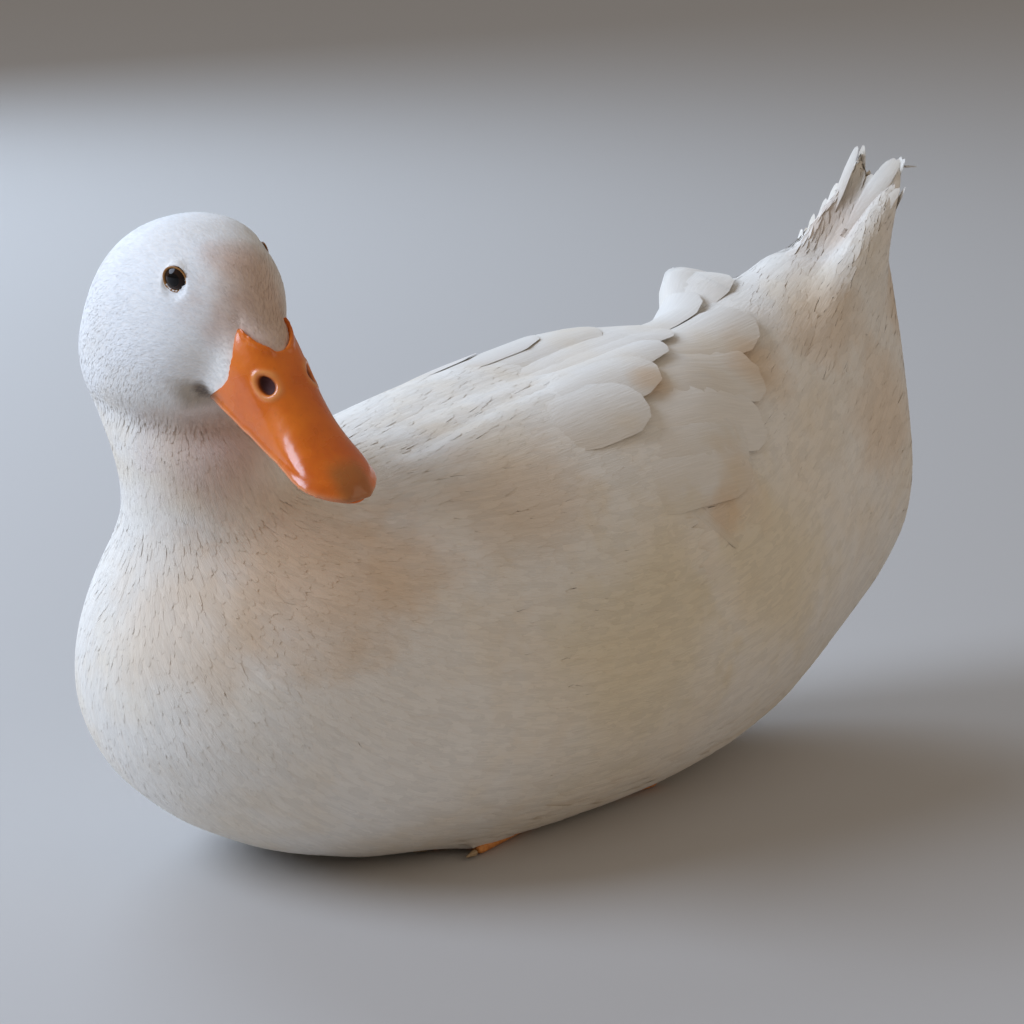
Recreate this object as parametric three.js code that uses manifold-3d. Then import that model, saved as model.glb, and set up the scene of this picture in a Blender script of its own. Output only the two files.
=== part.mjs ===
// A life-size white farm duck at rest on its belly: head turned to its left, tail cocked, feet tucked under.
// Millimetres, +Z up, bill and breast towards -Y, the duck's left side towards +X.
import * as THREE from "three";
import { mergeVertices } from "three/addons/utils/BufferGeometryUtils.js";
import Module from "manifold-3d";

const wasm = await Module();
wasm.setup();

// ---------------------------------------------------------------- driving dimensions
const GAP = 0.3; // clearance between touching pieces
const SIDES = 30; // corners of one body ring
const UNTWIST = 7; // corners that the rings turn back by on the way to the head, so facets don't twist
const EYE_AT = { forward: 163, up: 238 }; // between the eyes, before the head turns
const HEAD_PITCH = -14; // degrees, bill down
const HEAD_TURN = 84; // degrees to the duck's left
const HEAD_ROLL = 6; // degrees, left side up
const NECK_AXIS = 138; // forward place of the upright axis that the neck twists about
const EYE = { radius: 5.6, side: 17.2 };

const rad = THREE.MathUtils.degToRad;

// Places are drawn in the middle plane as forward and up, with side to the duck's left.
const place = (side, forward, up) => new THREE.Vector3(side, -forward, up);

// The same from the middle of the head, u towards the bill's tip and w towards the crown.
function fromEye(u, w) {
  const c = Math.cos(rad(HEAD_PITCH));
  const s = Math.sin(rad(HEAD_PITCH));
  return [EYE_AT.forward + u * c - w * s, EYE_AT.up + u * s + w * c];
}

// ---------------------------------------------------------------- the body's stations, tail to bill
// A station is a ring through a point on the back and one on the belly, both in the middle plane.
// Columns: back forward, back up, belly forward, belly up, half width,
// widest (share of the way from belly to back), fullness above and below (2 is an ellipse).
const trunkStations = [
  [-218, 225, -234, 216, 9, 0.5, 2, 2],
  [-200, 211, -235, 170, 23, 0.5, 2, 2.4],
  [-176, 196, -237, 118, 37, 0.5, 2, 2.5],
  [-146, 183, -240, 70, 46, 0.5, 2, 2],
  [-112, 174, -198, 28, 62, 0.5, 2, 1.6],
  [-70, 170, -126, 2, 82, 0.48, 2, 1.9],
  [-22, 167, -46, -8, 90, 0.46, 2, 2.1],
  [24, 161, 42, -8, 89, 0.45, 2, 2.2],
  [66, 154, 116, 8, 82, 0.45, 2, 2.2],
  [90, 154, 163, 42, 67, 0.47, 2, 2.1],
  [100, 160, 177, 86, 44, 0.48, 2, 2],
  [100, 166, 160, 130, 32, 0.5, 2, 2],
];
const neckStations = [
  [95, 176, 160, 154, 33, 0.5, 2, 2],
  [88, 188, 160, 171, 35, 0.5, 2, 2],
];
const headStations = [
  [...fromEye(-64, -48), ...fromEye(0, -60), 35, 0.5, 2, 2],
  [...fromEye(-62, -32), ...fromEye(4, -58), 35.5, 0.5, 2, 2],
  [...fromEye(-54, -12), ...fromEye(6, -56), 34, 0.5, 2.2, 2],
  [...fromEye(-40, 3), ...fromEye(8, -53), 32.5, 0.46, 2.4, 2],
  [...fromEye(-22, 11.5), ...fromEye(10, -50), 29.5, 0.44, 2.5, 2],
  [...fromEye(-2, 13.5), ...fromEye(12, -48), 25.5, 0.44, 2.5, 2],
  [...fromEye(17, 8), ...fromEye(13, -46), 19.5, 0.42, 2.3, 2],
  [...fromEye(29, -5), ...fromEye(14, -44), 13.5, 0.4, 2, 2],
];
const stations = [...trunkStations, ...neckStations, ...headStations];
const last = stations.length - 1;
const TAIL_TO = 1.7;
const NECK_FROM = trunkStations.length - 0.5;
const HEAD_FROM = trunkStations.length + neckStations.length + 0.2;
const RINGS = { tail: 3.5, trunk: 2.2, neck: 3, head: 2.5 }; // rings for each station

// One Catmull-Rom step through four numbers.
function through(p0, p1, p2, p3, s) {
  const a = 2 * p1;
  const b = p2 - p0;
  const c = 2 * p0 - 5 * p1 + 4 * p2 - p3;
  const d = 3 * (p1 - p2) + p3 - p0;
  return 0.5 * (a + b * s + c * s * s + d * s * s * s);
}

// The value of every column of a station table at the place t, where station i sits at t = i.
function between(table, t) {
  const end = table.length - 1;
  const i = Math.min(Math.floor(t), end - 1);
  const row = (k) => table[Math.min(Math.max(k, 0), end)];
  return row(i).map((_, c) => through(row(i - 1)[c], row(i)[c], row(i + 1)[c], row(i + 2)[c], t - i));
}

// How far the place t has turned with the head, from 0 on the trunk to 1 on the head.
const turnShare = (t) => THREE.MathUtils.smoothstep(t, trunkStations.length - 2.5, HEAD_FROM + 0.5);

// Turns a point about the neck's axis, and rolls it with the head.
function turned(p, share) {
  const axis = place(0, NECK_AXIS, 0);
  const eye = place(0, EYE_AT.forward, EYE_AT.up);
  const roll = new THREE.Matrix4().makeRotationY(rad(-HEAD_ROLL * share));
  const yaw = new THREE.Matrix4().makeRotationZ(rad(HEAD_TURN * share));
  return p.clone().sub(eye).applyMatrix4(roll).add(eye).sub(axis).applyMatrix4(yaw).add(axis);
}

// A point of the body at the place t and the angle a, which is 0 at the left side and 90 degrees
// on the back. It stands off the surface by grow, and a shift moves it along, towards the bill.
function bodyPoint(t, a, grow = 0, shift = 0) {
  const [bf, bu, vf, vu, half, widest, above, below] = between(stations, t);
  const up = new THREE.Vector2(bf - vf, bu - vu);
  const tall = up.length();
  up.normalize();
  const power = 2 / (Math.sin(a) > 0 ? above : below);
  const reach = (Math.sin(a) > 0 ? 1 - widest : widest) * tall + grow;
  const side = Math.sign(Math.cos(a)) * Math.abs(Math.cos(a)) ** power * (half + grow);
  const rise = widest * tall + Math.sign(Math.sin(a)) * Math.abs(Math.sin(a)) ** power * reach;
  const f = vf + up.x * rise + up.y * shift;
  const z = vu + up.y * rise - up.x * shift;
  return turned(place(side, f, Math.max(z, 0)), turnShare(t));
}

// ---------------------------------------------------------------- meshes and solids
// A closed mesh through rings of points, each ring with the same number of corners.
function skinRings(rings) {
  const n = rings[0].length;
  const points = rings.flat();
  const faces = [];
  for (let r = 0; r + 1 < rings.length; r++) {
    for (let k = 0; k < n; k++) {
      const a = r * n + k;
      const b = r * n + ((k + 1) % n);
      faces.push(a, b, b + n, a, b + n, a + n);
    }
  }
  for (const r of [0, rings.length - 1]) {
    const centre = new THREE.Vector3();
    rings[r].forEach((p) => centre.addScaledVector(p, 1 / n));
    points.push(centre);
    for (let k = 0; k < n; k++) {
      const a = r * n + k;
      const b = r * n + ((k + 1) % n);
      faces.push(...(r ? [a, b] : [b, a]), points.length - 1);
    }
  }
  const geometry = new THREE.BufferGeometry().setFromPoints(points);
  geometry.setIndex(faces);
  return geometry;
}

// A manifold solid from a closed geometry, turned inside out if its faces point in.
function toSolid(geometry) {
  const bare = new THREE.BufferGeometry();
  bare.setAttribute("position", geometry.getAttribute("position"));
  if (geometry.index) bare.setIndex(geometry.index);
  const merged = mergeVertices(bare, 1e-4);
  const vertProperties = merged.attributes.position.array;
  const triVerts = new Uint32Array(merged.index.array);
  const solid = new wasm.Manifold(new wasm.Mesh({ numProp: 3, vertProperties, triVerts }));
  if (solid.volume() > 0) return solid;
  triVerts.reverse();
  return new wasm.Manifold(new wasm.Mesh({ numProp: 3, vertProperties, triVerts }));
}

function toGeometry(solid) {
  const mesh = solid.getMesh();
  const geometry = new THREE.BufferGeometry();
  geometry.setAttribute("position", new THREE.BufferAttribute(mesh.vertProperties, 3));
  geometry.setIndex(new THREE.BufferAttribute(mesh.triVerts, 1));
  return geometry;
}

function ringOf(t, shift = 0) {
  const corner = (2 * Math.PI) / SIDES;
  const first = -UNTWIST * turnShare(t);
  return Array.from({ length: SIDES }, (_, k) => bodyPoint(t, corner * (first + k), 0, shift));
}

// The length of body from one place to another, with some rings for each station passed.
function bodyPiece(from, to, ringsPerStation) {
  const rings = [ringOf(from, GAP)];
  const count = Math.round((to - from) * ringsPerStation);
  for (let i = 1; i <= count; i++) rings.push(ringOf(from + ((to - from) * i) / count));
  return toSolid(skinRings(rings));
}

// The main body of a solid, without the slivers that a cut may leave loose.
const largest = (solid) => solid.decompose().reduce((a, b) => (a.volume() > b.volume() ? a : b));

// ---------------------------------------------------------------- the bill
const headPoint = (side, u, w) => turned(place(side, ...fromEye(u, w)), 1);

// Columns: along (u) and height (w) of the cutting edge, half width, height above it, depth below it,
// fullness of the arch above (2 is an ellipse).
const billStations = [
  [8, -40, 14, 36, 4, 2.6],
  [20, -41.5, 15.5, 36, 6, 2.6],
  [30, -43.5, 15.2, 34, 6.5, 2.8],
  [40, -46, 14.4, 29, 6, 2.6],
  [50, -48.5, 13.8, 23, 5.5, 2.4],
  [59, -50, 13.8, 17.5, 5, 2.2],
  [67, -51, 14.8, 13, 4.5, 2.1],
  [75, -52, 15.4, 10, 4, 2],
  [82, -52.6, 13.2, 7.5, 3, 2],
  [87, -53, 8.8, 5.5, 2, 2],
  [90, -53.3, 4.5, 3.4, 1.2, 2],
];
const BILL_SIDES = 14;
const OVERHANG = 2; // how far the upper bill's rim stands out past the lower bill

function billRing(t, upper, grow) {
  const [u, w, wide, high, deep, full] = between(billStations, t);
  const half = (upper ? wide : wide - OVERHANG) + grow;
  const rise = upper ? high + 2 * grow : -deep - 2 * grow;
  const level = upper ? w - grow : w - GAP + grow;
  const power = upper ? 2 / full : 1;
  const ends = { 0: -grow, [billStations.length - 1]: grow };
  const along = u + (ends[t] ?? 0);
  return Array.from({ length: BILL_SIDES + 1 }, (_, k) => {
    const a = (Math.PI * k) / BILL_SIDES;
    const side = Math.sign(Math.cos(a)) * Math.abs(Math.cos(a)) ** power * half;
    return headPoint(side, along, level + Math.sin(a) ** power * rise);
  });
}

function billPiece(upper, grow = 0) {
  const steps = 2 * (billStations.length - 1);
  return toSolid(skinRings(Array.from({ length: steps + 1 }, (_, i) => billRing(i / 2, upper, grow))));
}

// The world's place of a shape drawn in the head's own axes: u, left side, w.
const headMatrix = new THREE.Matrix4();
{
  const origin = headPoint(0, 0, 0);
  const axes = [headPoint(0, 1, 0), headPoint(1, 0, 0), headPoint(0, 0, 1)].map((p) => p.sub(origin));
  headMatrix.makeBasis(...axes).setPosition(origin);
}

// The feathers of the forehead run out over the bill in a U, from the height low to high.
const WEDGE = { from: 16, straightTo: 25, tip: 41, half: 10.5, thick: 1.1, low: -34, high: 6 };
function featherWedge() {
  const outline = new THREE.Shape();
  const shoulder = [WEDGE.tip - 5, WEDGE.half - 1];
  outline.moveTo(WEDGE.from, -WEDGE.half);
  outline.lineTo(WEDGE.straightTo, -WEDGE.half);
  outline.bezierCurveTo(shoulder[0], -shoulder[1], WEDGE.tip, -WEDGE.half / 2, WEDGE.tip, 0);
  outline.bezierCurveTo(WEDGE.tip, WEDGE.half / 2, ...shoulder, WEDGE.straightTo, WEDGE.half);
  outline.lineTo(WEDGE.from, WEDGE.half);
  const depth = WEDGE.high - WEDGE.low;
  const prism = new THREE.ExtrudeGeometry(outline, { depth, bevelEnabled: false, curveSegments: 6 });
  prism.translate(0, 0, WEDGE.low);
  prism.applyMatrix4(headMatrix);
  return toSolid(prism).intersect(billPiece(true, WEDGE.thick));
}

const NOSTRIL = { u: 44.5, side: 10.6, w: -26, length: 8.4, height: 4.6, depth: 5, slant: 30 };
function nostril(side) {
  const oval = new THREE.SphereGeometry(0.5, 12, 8);
  oval.scale(NOSTRIL.length, NOSTRIL.depth, NOSTRIL.height);
  oval.rotateY(rad(NOSTRIL.slant));
  oval.translate(NOSTRIL.u, side * NOSTRIL.side, NOSTRIL.w);
  return toSolid(oval.applyMatrix4(headMatrix));
}

function eyeball(side, grow = 0) {
  const ball = new THREE.SphereGeometry(EYE.radius + grow, 12, 9);
  return toSolid(ball.translate(0, side * EYE.side, 0).applyMatrix4(headMatrix));
}

// ---------------------------------------------------------------- the wings
// A wing is a shell over the trunk. Columns: place t, lower angle, upper angle, thickness, lift.
const wingStations = [
  [8.1, 52, 60, 1, 0],
  [7.8, 34, 74, 3, 0],
  [7.2, 20, 82, 5, 0],
  [6.4, 14, 86, 7, 0],
  [5.6, 16, 87, 8, 0],
  [4.9, 28, 87, 9, 0],
  [4.3, 44, 87, 8, 0],
  [3.8, 60, 88, 6, 2],
  [3.3, 70, 88, 4, 8],
  [2.85, 76, 86, 2, 15],
];
const WING_OFF = 0.9; // clearance of the shell's flat facets from the trunk's
const WING_ACROSS = 7; // facets across a wing
const WING_EDGE = 0.8; // thickness of the wing's edge
const WING_SWELL = 0.6; // below 1, the wing thickens fast from its edges

function wingShell(side) {
  const steps = 2 * (wingStations.length - 1);
  const rings = Array.from({ length: steps + 1 }, (_, i) => {
    const [t, low, high, thick, lift] = between(wingStations, i / 2);
    const at = (share, grow) => {
      const p = bodyPoint(t, rad(low + (high - low) * share), grow + WING_OFF + lift);
      return new THREE.Vector3(side * p.x, p.y, p.z);
    };
    const shares = Array.from({ length: WING_ACROSS + 1 }, (_, k) => k / WING_ACROSS);
    const swell = (share) => thick * Math.sin(Math.PI * share) ** WING_SWELL;
    const outer = shares.map((share) => at(share, WING_EDGE + swell(share)));
    const inner = shares.map((share) => at(share, 0));
    return [...outer, ...inner.reverse()];
  });
  return toSolid(skinRings(rings));
}

// ---------------------------------------------------------------- the tail's feathers
// Each feather runs from the tail's root to its own tip. Columns: tip side, forward, up, half width.
const TAIL_ROOT = { forward: -199, up: 195, spread: 0.4 };
const tailTips = [
  [-22, -215, 206, 8],
  [-14, -223, 217, 8],
  [-4, -229, 239, 5.5],
  [4, -230, 227, 8],
  [14, -229, 233, 8],
  [24, -221, 235, 8],
];
const FEATHER = { thick: 1.4, rings: 8, corners: 6, narrowsFrom: 0.6, tip: 0.04 };

function tailFeather([side, forward, up, half]) {
  const root = place(side * TAIL_ROOT.spread, TAIL_ROOT.forward, TAIL_ROOT.up);
  const tip = place(side, forward, up);
  const along = tip.clone().sub(root);
  const across = new THREE.Vector3(1, 0, 0).projectOnPlane(along.clone().normalize()).normalize();
  const over = new THREE.Vector3().crossVectors(across, along).normalize();
  const rings = Array.from({ length: FEATHER.rings }, (_, i) => {
    const s = i / (FEATHER.rings - 1);
    const pastMiddle = Math.max(s - FEATHER.narrowsFrom, 0) / (1 - FEATHER.narrowsFrom);
    const taper = Math.max(1 - pastMiddle ** 2, FEATHER.tip);
    return Array.from({ length: FEATHER.corners }, (__, k) => {
      const a = (2 * Math.PI * k) / FEATHER.corners;
      const p = root.clone().addScaledVector(along, s);
      p.addScaledVector(across, Math.cos(a) * half * taper);
      return p.addScaledVector(over, (Math.sin(a) * FEATHER.thick) / 2);
    });
  });
  return toSolid(skinRings(rings));
}

// ---------------------------------------------------------------- the feet, tucked under the belly
const FOOT = { side: 38, ankle: -66, heel: -14, ankleUp: 5.5, heelUp: 4.5, shank: 6, toe: 4, web: 1.8 };
// Columns: toe tip's side, forward, radius at the tip.
const toes = [
  [22, 42, 2.4],
  [38, 52, 2.6],
  [54, 42, 2.4],
];
const WEB_BAY = 12; // how far the web's front edge curves back between two toes
const CLAW = { length: 6, radius: 1.5, tip: 0.5, up: 0.4 };
const LIMB_SIDES = 6;
const BELOW = 2; // how far a pocket's cutter reaches below the floor

// A tapering limb that lies on the floor, or reaches below it where it cuts a pocket. Its round ends
// stand out by CAP times their radius.
const CAP = 0.8;
function limb(from, to, r0, r1, grow = 0) {
  const along = to.clone().sub(from);
  const long = along.length();
  along.normalize();
  const across = new THREE.Vector3(along.y, -along.x, 0).normalize();
  const stops = [
    [-CAP * (r0 + grow), r0, 0.5],
    [0, r0, 1],
    [long, r1, 1],
    [long + CAP * (r1 + grow), r1, 0.5],
  ];
  const rings = stops.map(([at, radius, share]) => {
    const centre = from.clone().addScaledVector(along, at);
    return Array.from({ length: LIMB_SIDES }, (_, k) => {
      const a = (2 * Math.PI * k) / LIMB_SIDES;
      const p = centre.clone().addScaledVector(across, Math.cos(a) * (radius + grow) * share);
      p.z = Math.max(centre.z + Math.sin(a) * (radius + grow) * share, grow ? -BELOW : 0);
      return p;
    });
  });
  return toSolid(skinRings(rings));
}

const toeTip = (side, [x, f, r]) => place(side * x, f, r);
const heelOf = (side) => place(side * FOOT.side, FOOT.heel, FOOT.heelUp);

function leg(side, grow = 0) {
  const ankle = place(side * FOOT.side, FOOT.ankle, FOOT.ankleUp);
  let solid = limb(ankle, heelOf(side), FOOT.shank, FOOT.heelUp, grow);
  for (const toe of toes) {
    solid = solid.add(limb(heelOf(side), toeTip(side, toe), FOOT.toe, toe[2], grow));
  }
  const web = new THREE.Shape();
  web.moveTo(side * FOOT.side, -FOOT.heel);
  toes.forEach(([x, f], i) => {
    if (i > 0) {
      const [x0, f0] = toes[i - 1];
      web.quadraticCurveTo((side * (x0 + x)) / 2, WEB_BAY - (f0 + f) / 2, side * x, -f);
    } else {
      web.lineTo(side * x, -f);
    }
  });
  const depth = FOOT.web + (grow ? grow + BELOW : 0);
  const sheet = new THREE.ExtrudeGeometry(web, { depth, bevelEnabled: false, curveSegments: 5 });
  sheet.translate(0, 0, grow ? -BELOW : 0);
  return solid.add(toSolid(sheet));
}

function claw(side, toe, grow = 0) {
  const tip = toeTip(side, toe);
  const away = tip.clone().sub(heelOf(side)).setZ(0).normalize();
  const root = tip.clone().addScaledVector(away, CAP * (toe[2] + CLAW.radius) + GAP);
  root.z = CLAW.radius + CLAW.up;
  const end = root.clone().addScaledVector(away, CLAW.length);
  return limb(root, end, CLAW.radius, CLAW.tip, grow);
}

// ---------------------------------------------------------------- the duck
const duck = new THREE.Group();
const plumage = new THREE.MeshStandardMaterial({ color: 0xf2ede2, roughness: 0.9 });
const horn = new THREE.MeshStandardMaterial({ color: 0xe07a10, roughness: 0.35 });
const clawHorn = new THREE.MeshStandardMaterial({ color: 0xb98a52, roughness: 0.5 });
const eyeDark = new THREE.MeshStandardMaterial({ color: 0x1a1210, roughness: 0.1 });

function add(name, solid, material) {
  const geometry = toGeometry(solid);
  geometry.computeVertexNormals();
  const mesh = new THREE.Mesh(geometry, material);
  mesh.name = name;
  duck.add(mesh);
}

const SIDE_NAMES = [["left", 1], ["right", -1]];
const POCKET = 0.6; // room round a foot under the belly

let tail = bodyPiece(0, TAIL_TO, RINGS.tail);
for (const tip of tailTips) tail = tail.add(tailFeather(tip));
let trunk = bodyPiece(TAIL_TO, NECK_FROM, RINGS.trunk);
let head = bodyPiece(HEAD_FROM, last, RINGS.head).add(featherWedge());
head = head.subtract(billPiece(true, GAP)).subtract(billPiece(false, GAP));
let upperBill = billPiece(true);

for (const [name, side] of SIDE_NAMES) {
  add(`eye_${name}`, eyeball(side), eyeDark);
  head = head.subtract(eyeball(side, GAP));
  upperBill = upperBill.subtract(nostril(side));
  add(`wing_${name}`, wingShell(side), plumage);
  add(`leg_${name}`, leg(side), horn);
  trunk = trunk.subtract(leg(side, POCKET));
  toes.forEach((toe, i) => {
    add(`claw_${name}_${i + 1}`, claw(side, toe), clawHorn);
    trunk = trunk.subtract(claw(side, toe, POCKET));
  });
}
add("tail", largest(tail), plumage);
add("trunk", largest(trunk), plumage);
add("neck", bodyPiece(NECK_FROM, HEAD_FROM, RINGS.neck), plumage);
add("head", head, plumage);
add("upper_bill", upperBill, horn);
add("lower_bill", billPiece(false), horn);

// The origin is under the middle of the duck's box, on the floor.
const middle = new THREE.Box3().setFromObject(duck).getCenter(new THREE.Vector3());
duck.position.set(-middle.x, -middle.y, 0);

export default duck;
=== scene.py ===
# %% [markdown]
# # A white farm duck at rest
#
# The real duck is one soft body under several thousand feathers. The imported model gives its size,
# its outline and the places of its eyes, bill, wings and feet. This lesson grows the looks over
# that frame: one skin, a coat of feathers in mesh, eyes with lids, a glossy bill and scaly feet.

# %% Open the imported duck
import math

import bmesh
import bpy
import numpy as np
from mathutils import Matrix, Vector
from mathutils.bvhtree import BVHTree


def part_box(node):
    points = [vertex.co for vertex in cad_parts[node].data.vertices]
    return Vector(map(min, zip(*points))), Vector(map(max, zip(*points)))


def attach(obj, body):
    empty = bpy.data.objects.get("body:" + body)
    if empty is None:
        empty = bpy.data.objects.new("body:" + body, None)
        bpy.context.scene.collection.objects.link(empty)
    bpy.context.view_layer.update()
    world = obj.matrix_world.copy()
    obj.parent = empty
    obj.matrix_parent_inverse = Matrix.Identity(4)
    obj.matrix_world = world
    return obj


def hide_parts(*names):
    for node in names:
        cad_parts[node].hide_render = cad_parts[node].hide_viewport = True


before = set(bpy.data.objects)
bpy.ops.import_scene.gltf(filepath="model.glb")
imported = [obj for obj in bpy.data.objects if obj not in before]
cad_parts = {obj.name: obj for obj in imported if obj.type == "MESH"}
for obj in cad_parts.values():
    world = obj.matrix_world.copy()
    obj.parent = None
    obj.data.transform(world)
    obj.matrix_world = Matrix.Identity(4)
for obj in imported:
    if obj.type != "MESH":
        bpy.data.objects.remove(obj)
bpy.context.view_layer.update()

MM = 0.001
UP = np.array([0.0, 0.0, 1.0])

# %% [markdown]
# ## Camera
#
# The duck is seen from its left front and a little from above. A short lens close by would swell
# the bill and shrink the tail, so a long lens from further away keeps them in proportion.

# %% Camera
AIM = Vector((21.5, -32.2, 123.3)) * MM
AZIMUTH, ELEVATION, DISTANCE, LENS = 47, 14, 1.6, 145


def around(azimuth, elevation, distance):
    """A place that far from AIM, where azimuth 0 is in front of the duck's breast."""
    a, e = math.radians(azimuth), math.radians(elevation)
    away = Vector((math.sin(a) * math.cos(e), -math.cos(a) * math.cos(e), math.sin(e)))
    return AIM + away * distance


camera = bpy.data.objects.new("camera", bpy.data.cameras.new("camera"))
camera.data.lens = LENS
camera.location = around(AZIMUTH, ELEVATION, DISTANCE)
camera.rotation_euler = (AIM - camera.location).to_track_quat("-Z", "Y").to_euler()
bpy.context.scene.collection.objects.link(camera)
bpy.context.scene.camera = camera
print("camera at", [round(v, 3) for v in camera.location])


# %% [markdown]
# ## Light
#
# White plumage shows its form only in soft shade. A wide cool light stands in front of the duck's
# right side, a second one behind that side picks out its outline, and a weak warm one and a warm
# sky fill the near side, so that shade between feathers is never black.

# %% Lights
def soft_light(name, azimuth, elevation, distance, size, watts, tint):
    light = bpy.data.lights.new(name, "AREA")
    light.shape = "DISK"
    light.size = size
    light.energy = watts
    light.color = tint
    lamp = bpy.data.objects.new(name, light)
    lamp.location = around(azimuth, elevation, distance)
    lamp.rotation_euler = (AIM - lamp.location).to_track_quat("-Z", "Y").to_euler()
    bpy.context.scene.collection.objects.link(lamp)


soft_light("key", -34, 32, 1.9, 1.3, 34, (0.66, 0.79, 1.0))
soft_light("rim", -105, 24, 1.9, 1.2, 17, (0.62, 0.78, 1.0))
soft_light("fill", 112, 20, 2.2, 1.8, 4.5, (1.0, 0.82, 0.64))

world = bpy.data.worlds.new("studio")
world.use_nodes = True
world.node_tree.nodes["Background"].inputs["Color"].default_value = (1.0, 0.9, 0.8, 1)
world.node_tree.nodes["Background"].inputs["Strength"].default_value = 0.28
bpy.context.scene.world = world
bpy.context.scene.view_settings.view_transform = "Standard"


# %% [markdown]
# ## Small helpers for materials
#
# A material is a tree of nodes. Each node could be made and linked by hand. `add` makes one node,
# sets its values and links its sockets in one go, so that a tree reads as a list of steps.

# %% Node helpers
def add(tree, kind, inputs=None, **settings):
    made = tree.nodes.new("ShaderNode" + kind)
    for key, value in settings.items():
        setattr(made, key, value)
    for key, value in (inputs or {}).items():
        if isinstance(value, bpy.types.NodeSocket):
            tree.links.new(value, made.inputs[key])
        else:
            made.inputs[key].default_value = value
    return made


def blank_material(name, **values):
    """A material with its Principled BSDF, whose sockets are set by their names, _ for a space."""
    material = bpy.data.materials.new(name)
    material.use_nodes = True
    tree = material.node_tree
    shader = tree.nodes["Principled BSDF"]
    for key, value in values.items():
        shader.inputs[key.replace("_", " ")].default_value = value
    return material, tree, shader


def blend_colour(tree, share, first, second):
    """The colour socket of first where share is 0 and second where it is 1."""
    mix = add(tree, "Mix", {"Factor": share}, data_type="RGBA")
    for socket, value in ((mix.inputs[6], first), (mix.inputs[7], second)):
        if isinstance(value, bpy.types.NodeSocket):
            tree.links.new(value, socket)
        else:
            socket.default_value = (*value, 1)
    return mix.outputs[2]


def ramp(tree, value, low, high, to_low=0.0, to_high=1.0):
    """Smoothly maps low..high to to_low..to_high."""
    inputs = {0: value, 1: low, 2: high, 3: to_low, 4: to_high}
    return add(tree, "MapRange", inputs, interpolation_type="SMOOTHSTEP").outputs[0]


# %% [markdown]
# ## Floor
#
# A plain pale floor takes the duck's shadow and throws a little light back up at its belly. It is
# a stage, so it is no part of the duck, and it runs far past the view on all sides.

# %% Floor
FLOOR_REACH = 15
round_it = ((-1, -1), (1, -1), (1, 1), (-1, 1))
floor_corners = [(x * FLOOR_REACH, y * FLOOR_REACH, 0) for x, y in round_it]
floor_mesh = bpy.data.meshes.new("floor")
floor_mesh.from_pydata(floor_corners, [], [(0, 1, 2, 3)])
floor = bpy.data.objects.new("floor", floor_mesh)
bpy.context.scene.collection.objects.link(floor)
floor_paint, tree, shader = blank_material("floor_paint", Roughness=0.75)
spots = add(tree, "TexNoise", {"Scale": 3.0, "Detail": 4.0}).outputs[0]
colour = blend_colour(tree, spots, (0.52, 0.50, 0.48), (0.55, 0.53, 0.51))
tree.links.new(colour, shader.inputs["Base Color"])
floor_mesh.materials.append(floor_paint)
print("floor:", 2 * FLOOR_REACH, "metres square")


# %% [markdown]
# ## Landmarks
#
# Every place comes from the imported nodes, so the looks fit the model however it is sized. The head
# is turned and tilted, which makes plain x, y and z awkward on it. It gets axes of its own: one to
# the bill's tip, one to its left side and one to the crown. The eyes give them.

# %% Head axes
def unit(v):
    return v / np.linalg.norm(v, axis=-1, keepdims=True)


def middle(node_name):
    low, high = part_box(node_name)
    return np.array((low + high) / 2)


HEAD_PITCH = math.radians(-14)
eye_centres = {side: middle(f"eye_{side}") for side in ("left", "right")}
between_eyes = (eye_centres["left"] + eye_centres["right"]) / 2
to_left = unit(eye_centres["left"] - eye_centres["right"])
level = unit(np.cross(to_left, UP))
plumb = np.cross(level, to_left)
to_bill = level * math.cos(HEAD_PITCH) + plumb * math.sin(HEAD_PITCH)
to_crown = plumb * math.cos(HEAD_PITCH) - level * math.sin(HEAD_PITCH)
head_axes = np.stack([to_bill, to_left, to_crown])


def head_place(along, side, height):
    """A place given from between the eyes, in millimetres: to the bill, to the left, to the crown."""
    return between_eyes + np.array([along, side, height]) * MM @ head_axes


def in_head(places):
    """Millimetres from between the eyes, along the head's own axes."""
    return (places - between_eyes) @ head_axes.T / MM


print("between the eyes:", np.round(between_eyes / MM), "left axis:", np.round(to_left, 2))


# %% [markdown]
# ## Where the coat ends on the bill
#
# A duck's feathers reach down on its bill in a U between two points of bare horn, and end on the
# cheek in a gentle curve. A painted edge would look flat. One function that says how far a place
# is inside the edge serves the skin, the horn and the feathers, so they all meet on one line.

# %% The coat's edge
# On top it ends in a U, and down each cheek at an edge given by height and by how far along it is.
COAT_U = {"from": 24.6, "tip": 39.8, "half": 10.0, "lowest": -24}
CHEEK_HEIGHTS = [-48, -38.6, -34, -29.7, -20.5, -7, -4, 6]
CHEEK_EDGE = [13, 19.8, 25, 28.1, 28.2, 24.6, 27, 40]


def covered(places):
    """How far inside the coat's edge a place is, in millimetres. It is negative on the bare bill."""
    along, side, height = in_head(places).T
    share = np.maximum(along - COAT_U["from"], 0) / (COAT_U["tip"] - COAT_U["from"])
    on_top = (1 - np.hypot(share, side / COAT_U["half"])) * COAT_U["half"]
    on_top[height < COAT_U["lowest"]] = -COAT_U["half"]
    return np.maximum(on_top, np.interp(height, CHEEK_HEIGHTS, CHEEK_EDGE) - along)


print("the coat ends", COAT_U["tip"], "mm before the eyes on top and", max(CHEEK_EDGE[:5]), "mm at the side")

# %% [markdown]
# ## The lie of the coat
#
# Feathers lie from the bill to the tail, down the neck and back along the body. A line of guide
# places runs through the duck, each with the direction to the next. Anywhere on the skin the lie
# is the mean of the guides' directions, by nearness, pressed flat on the skin. The same guides
# say how far along the body a place is, which sets the size of its feathers.

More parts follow.
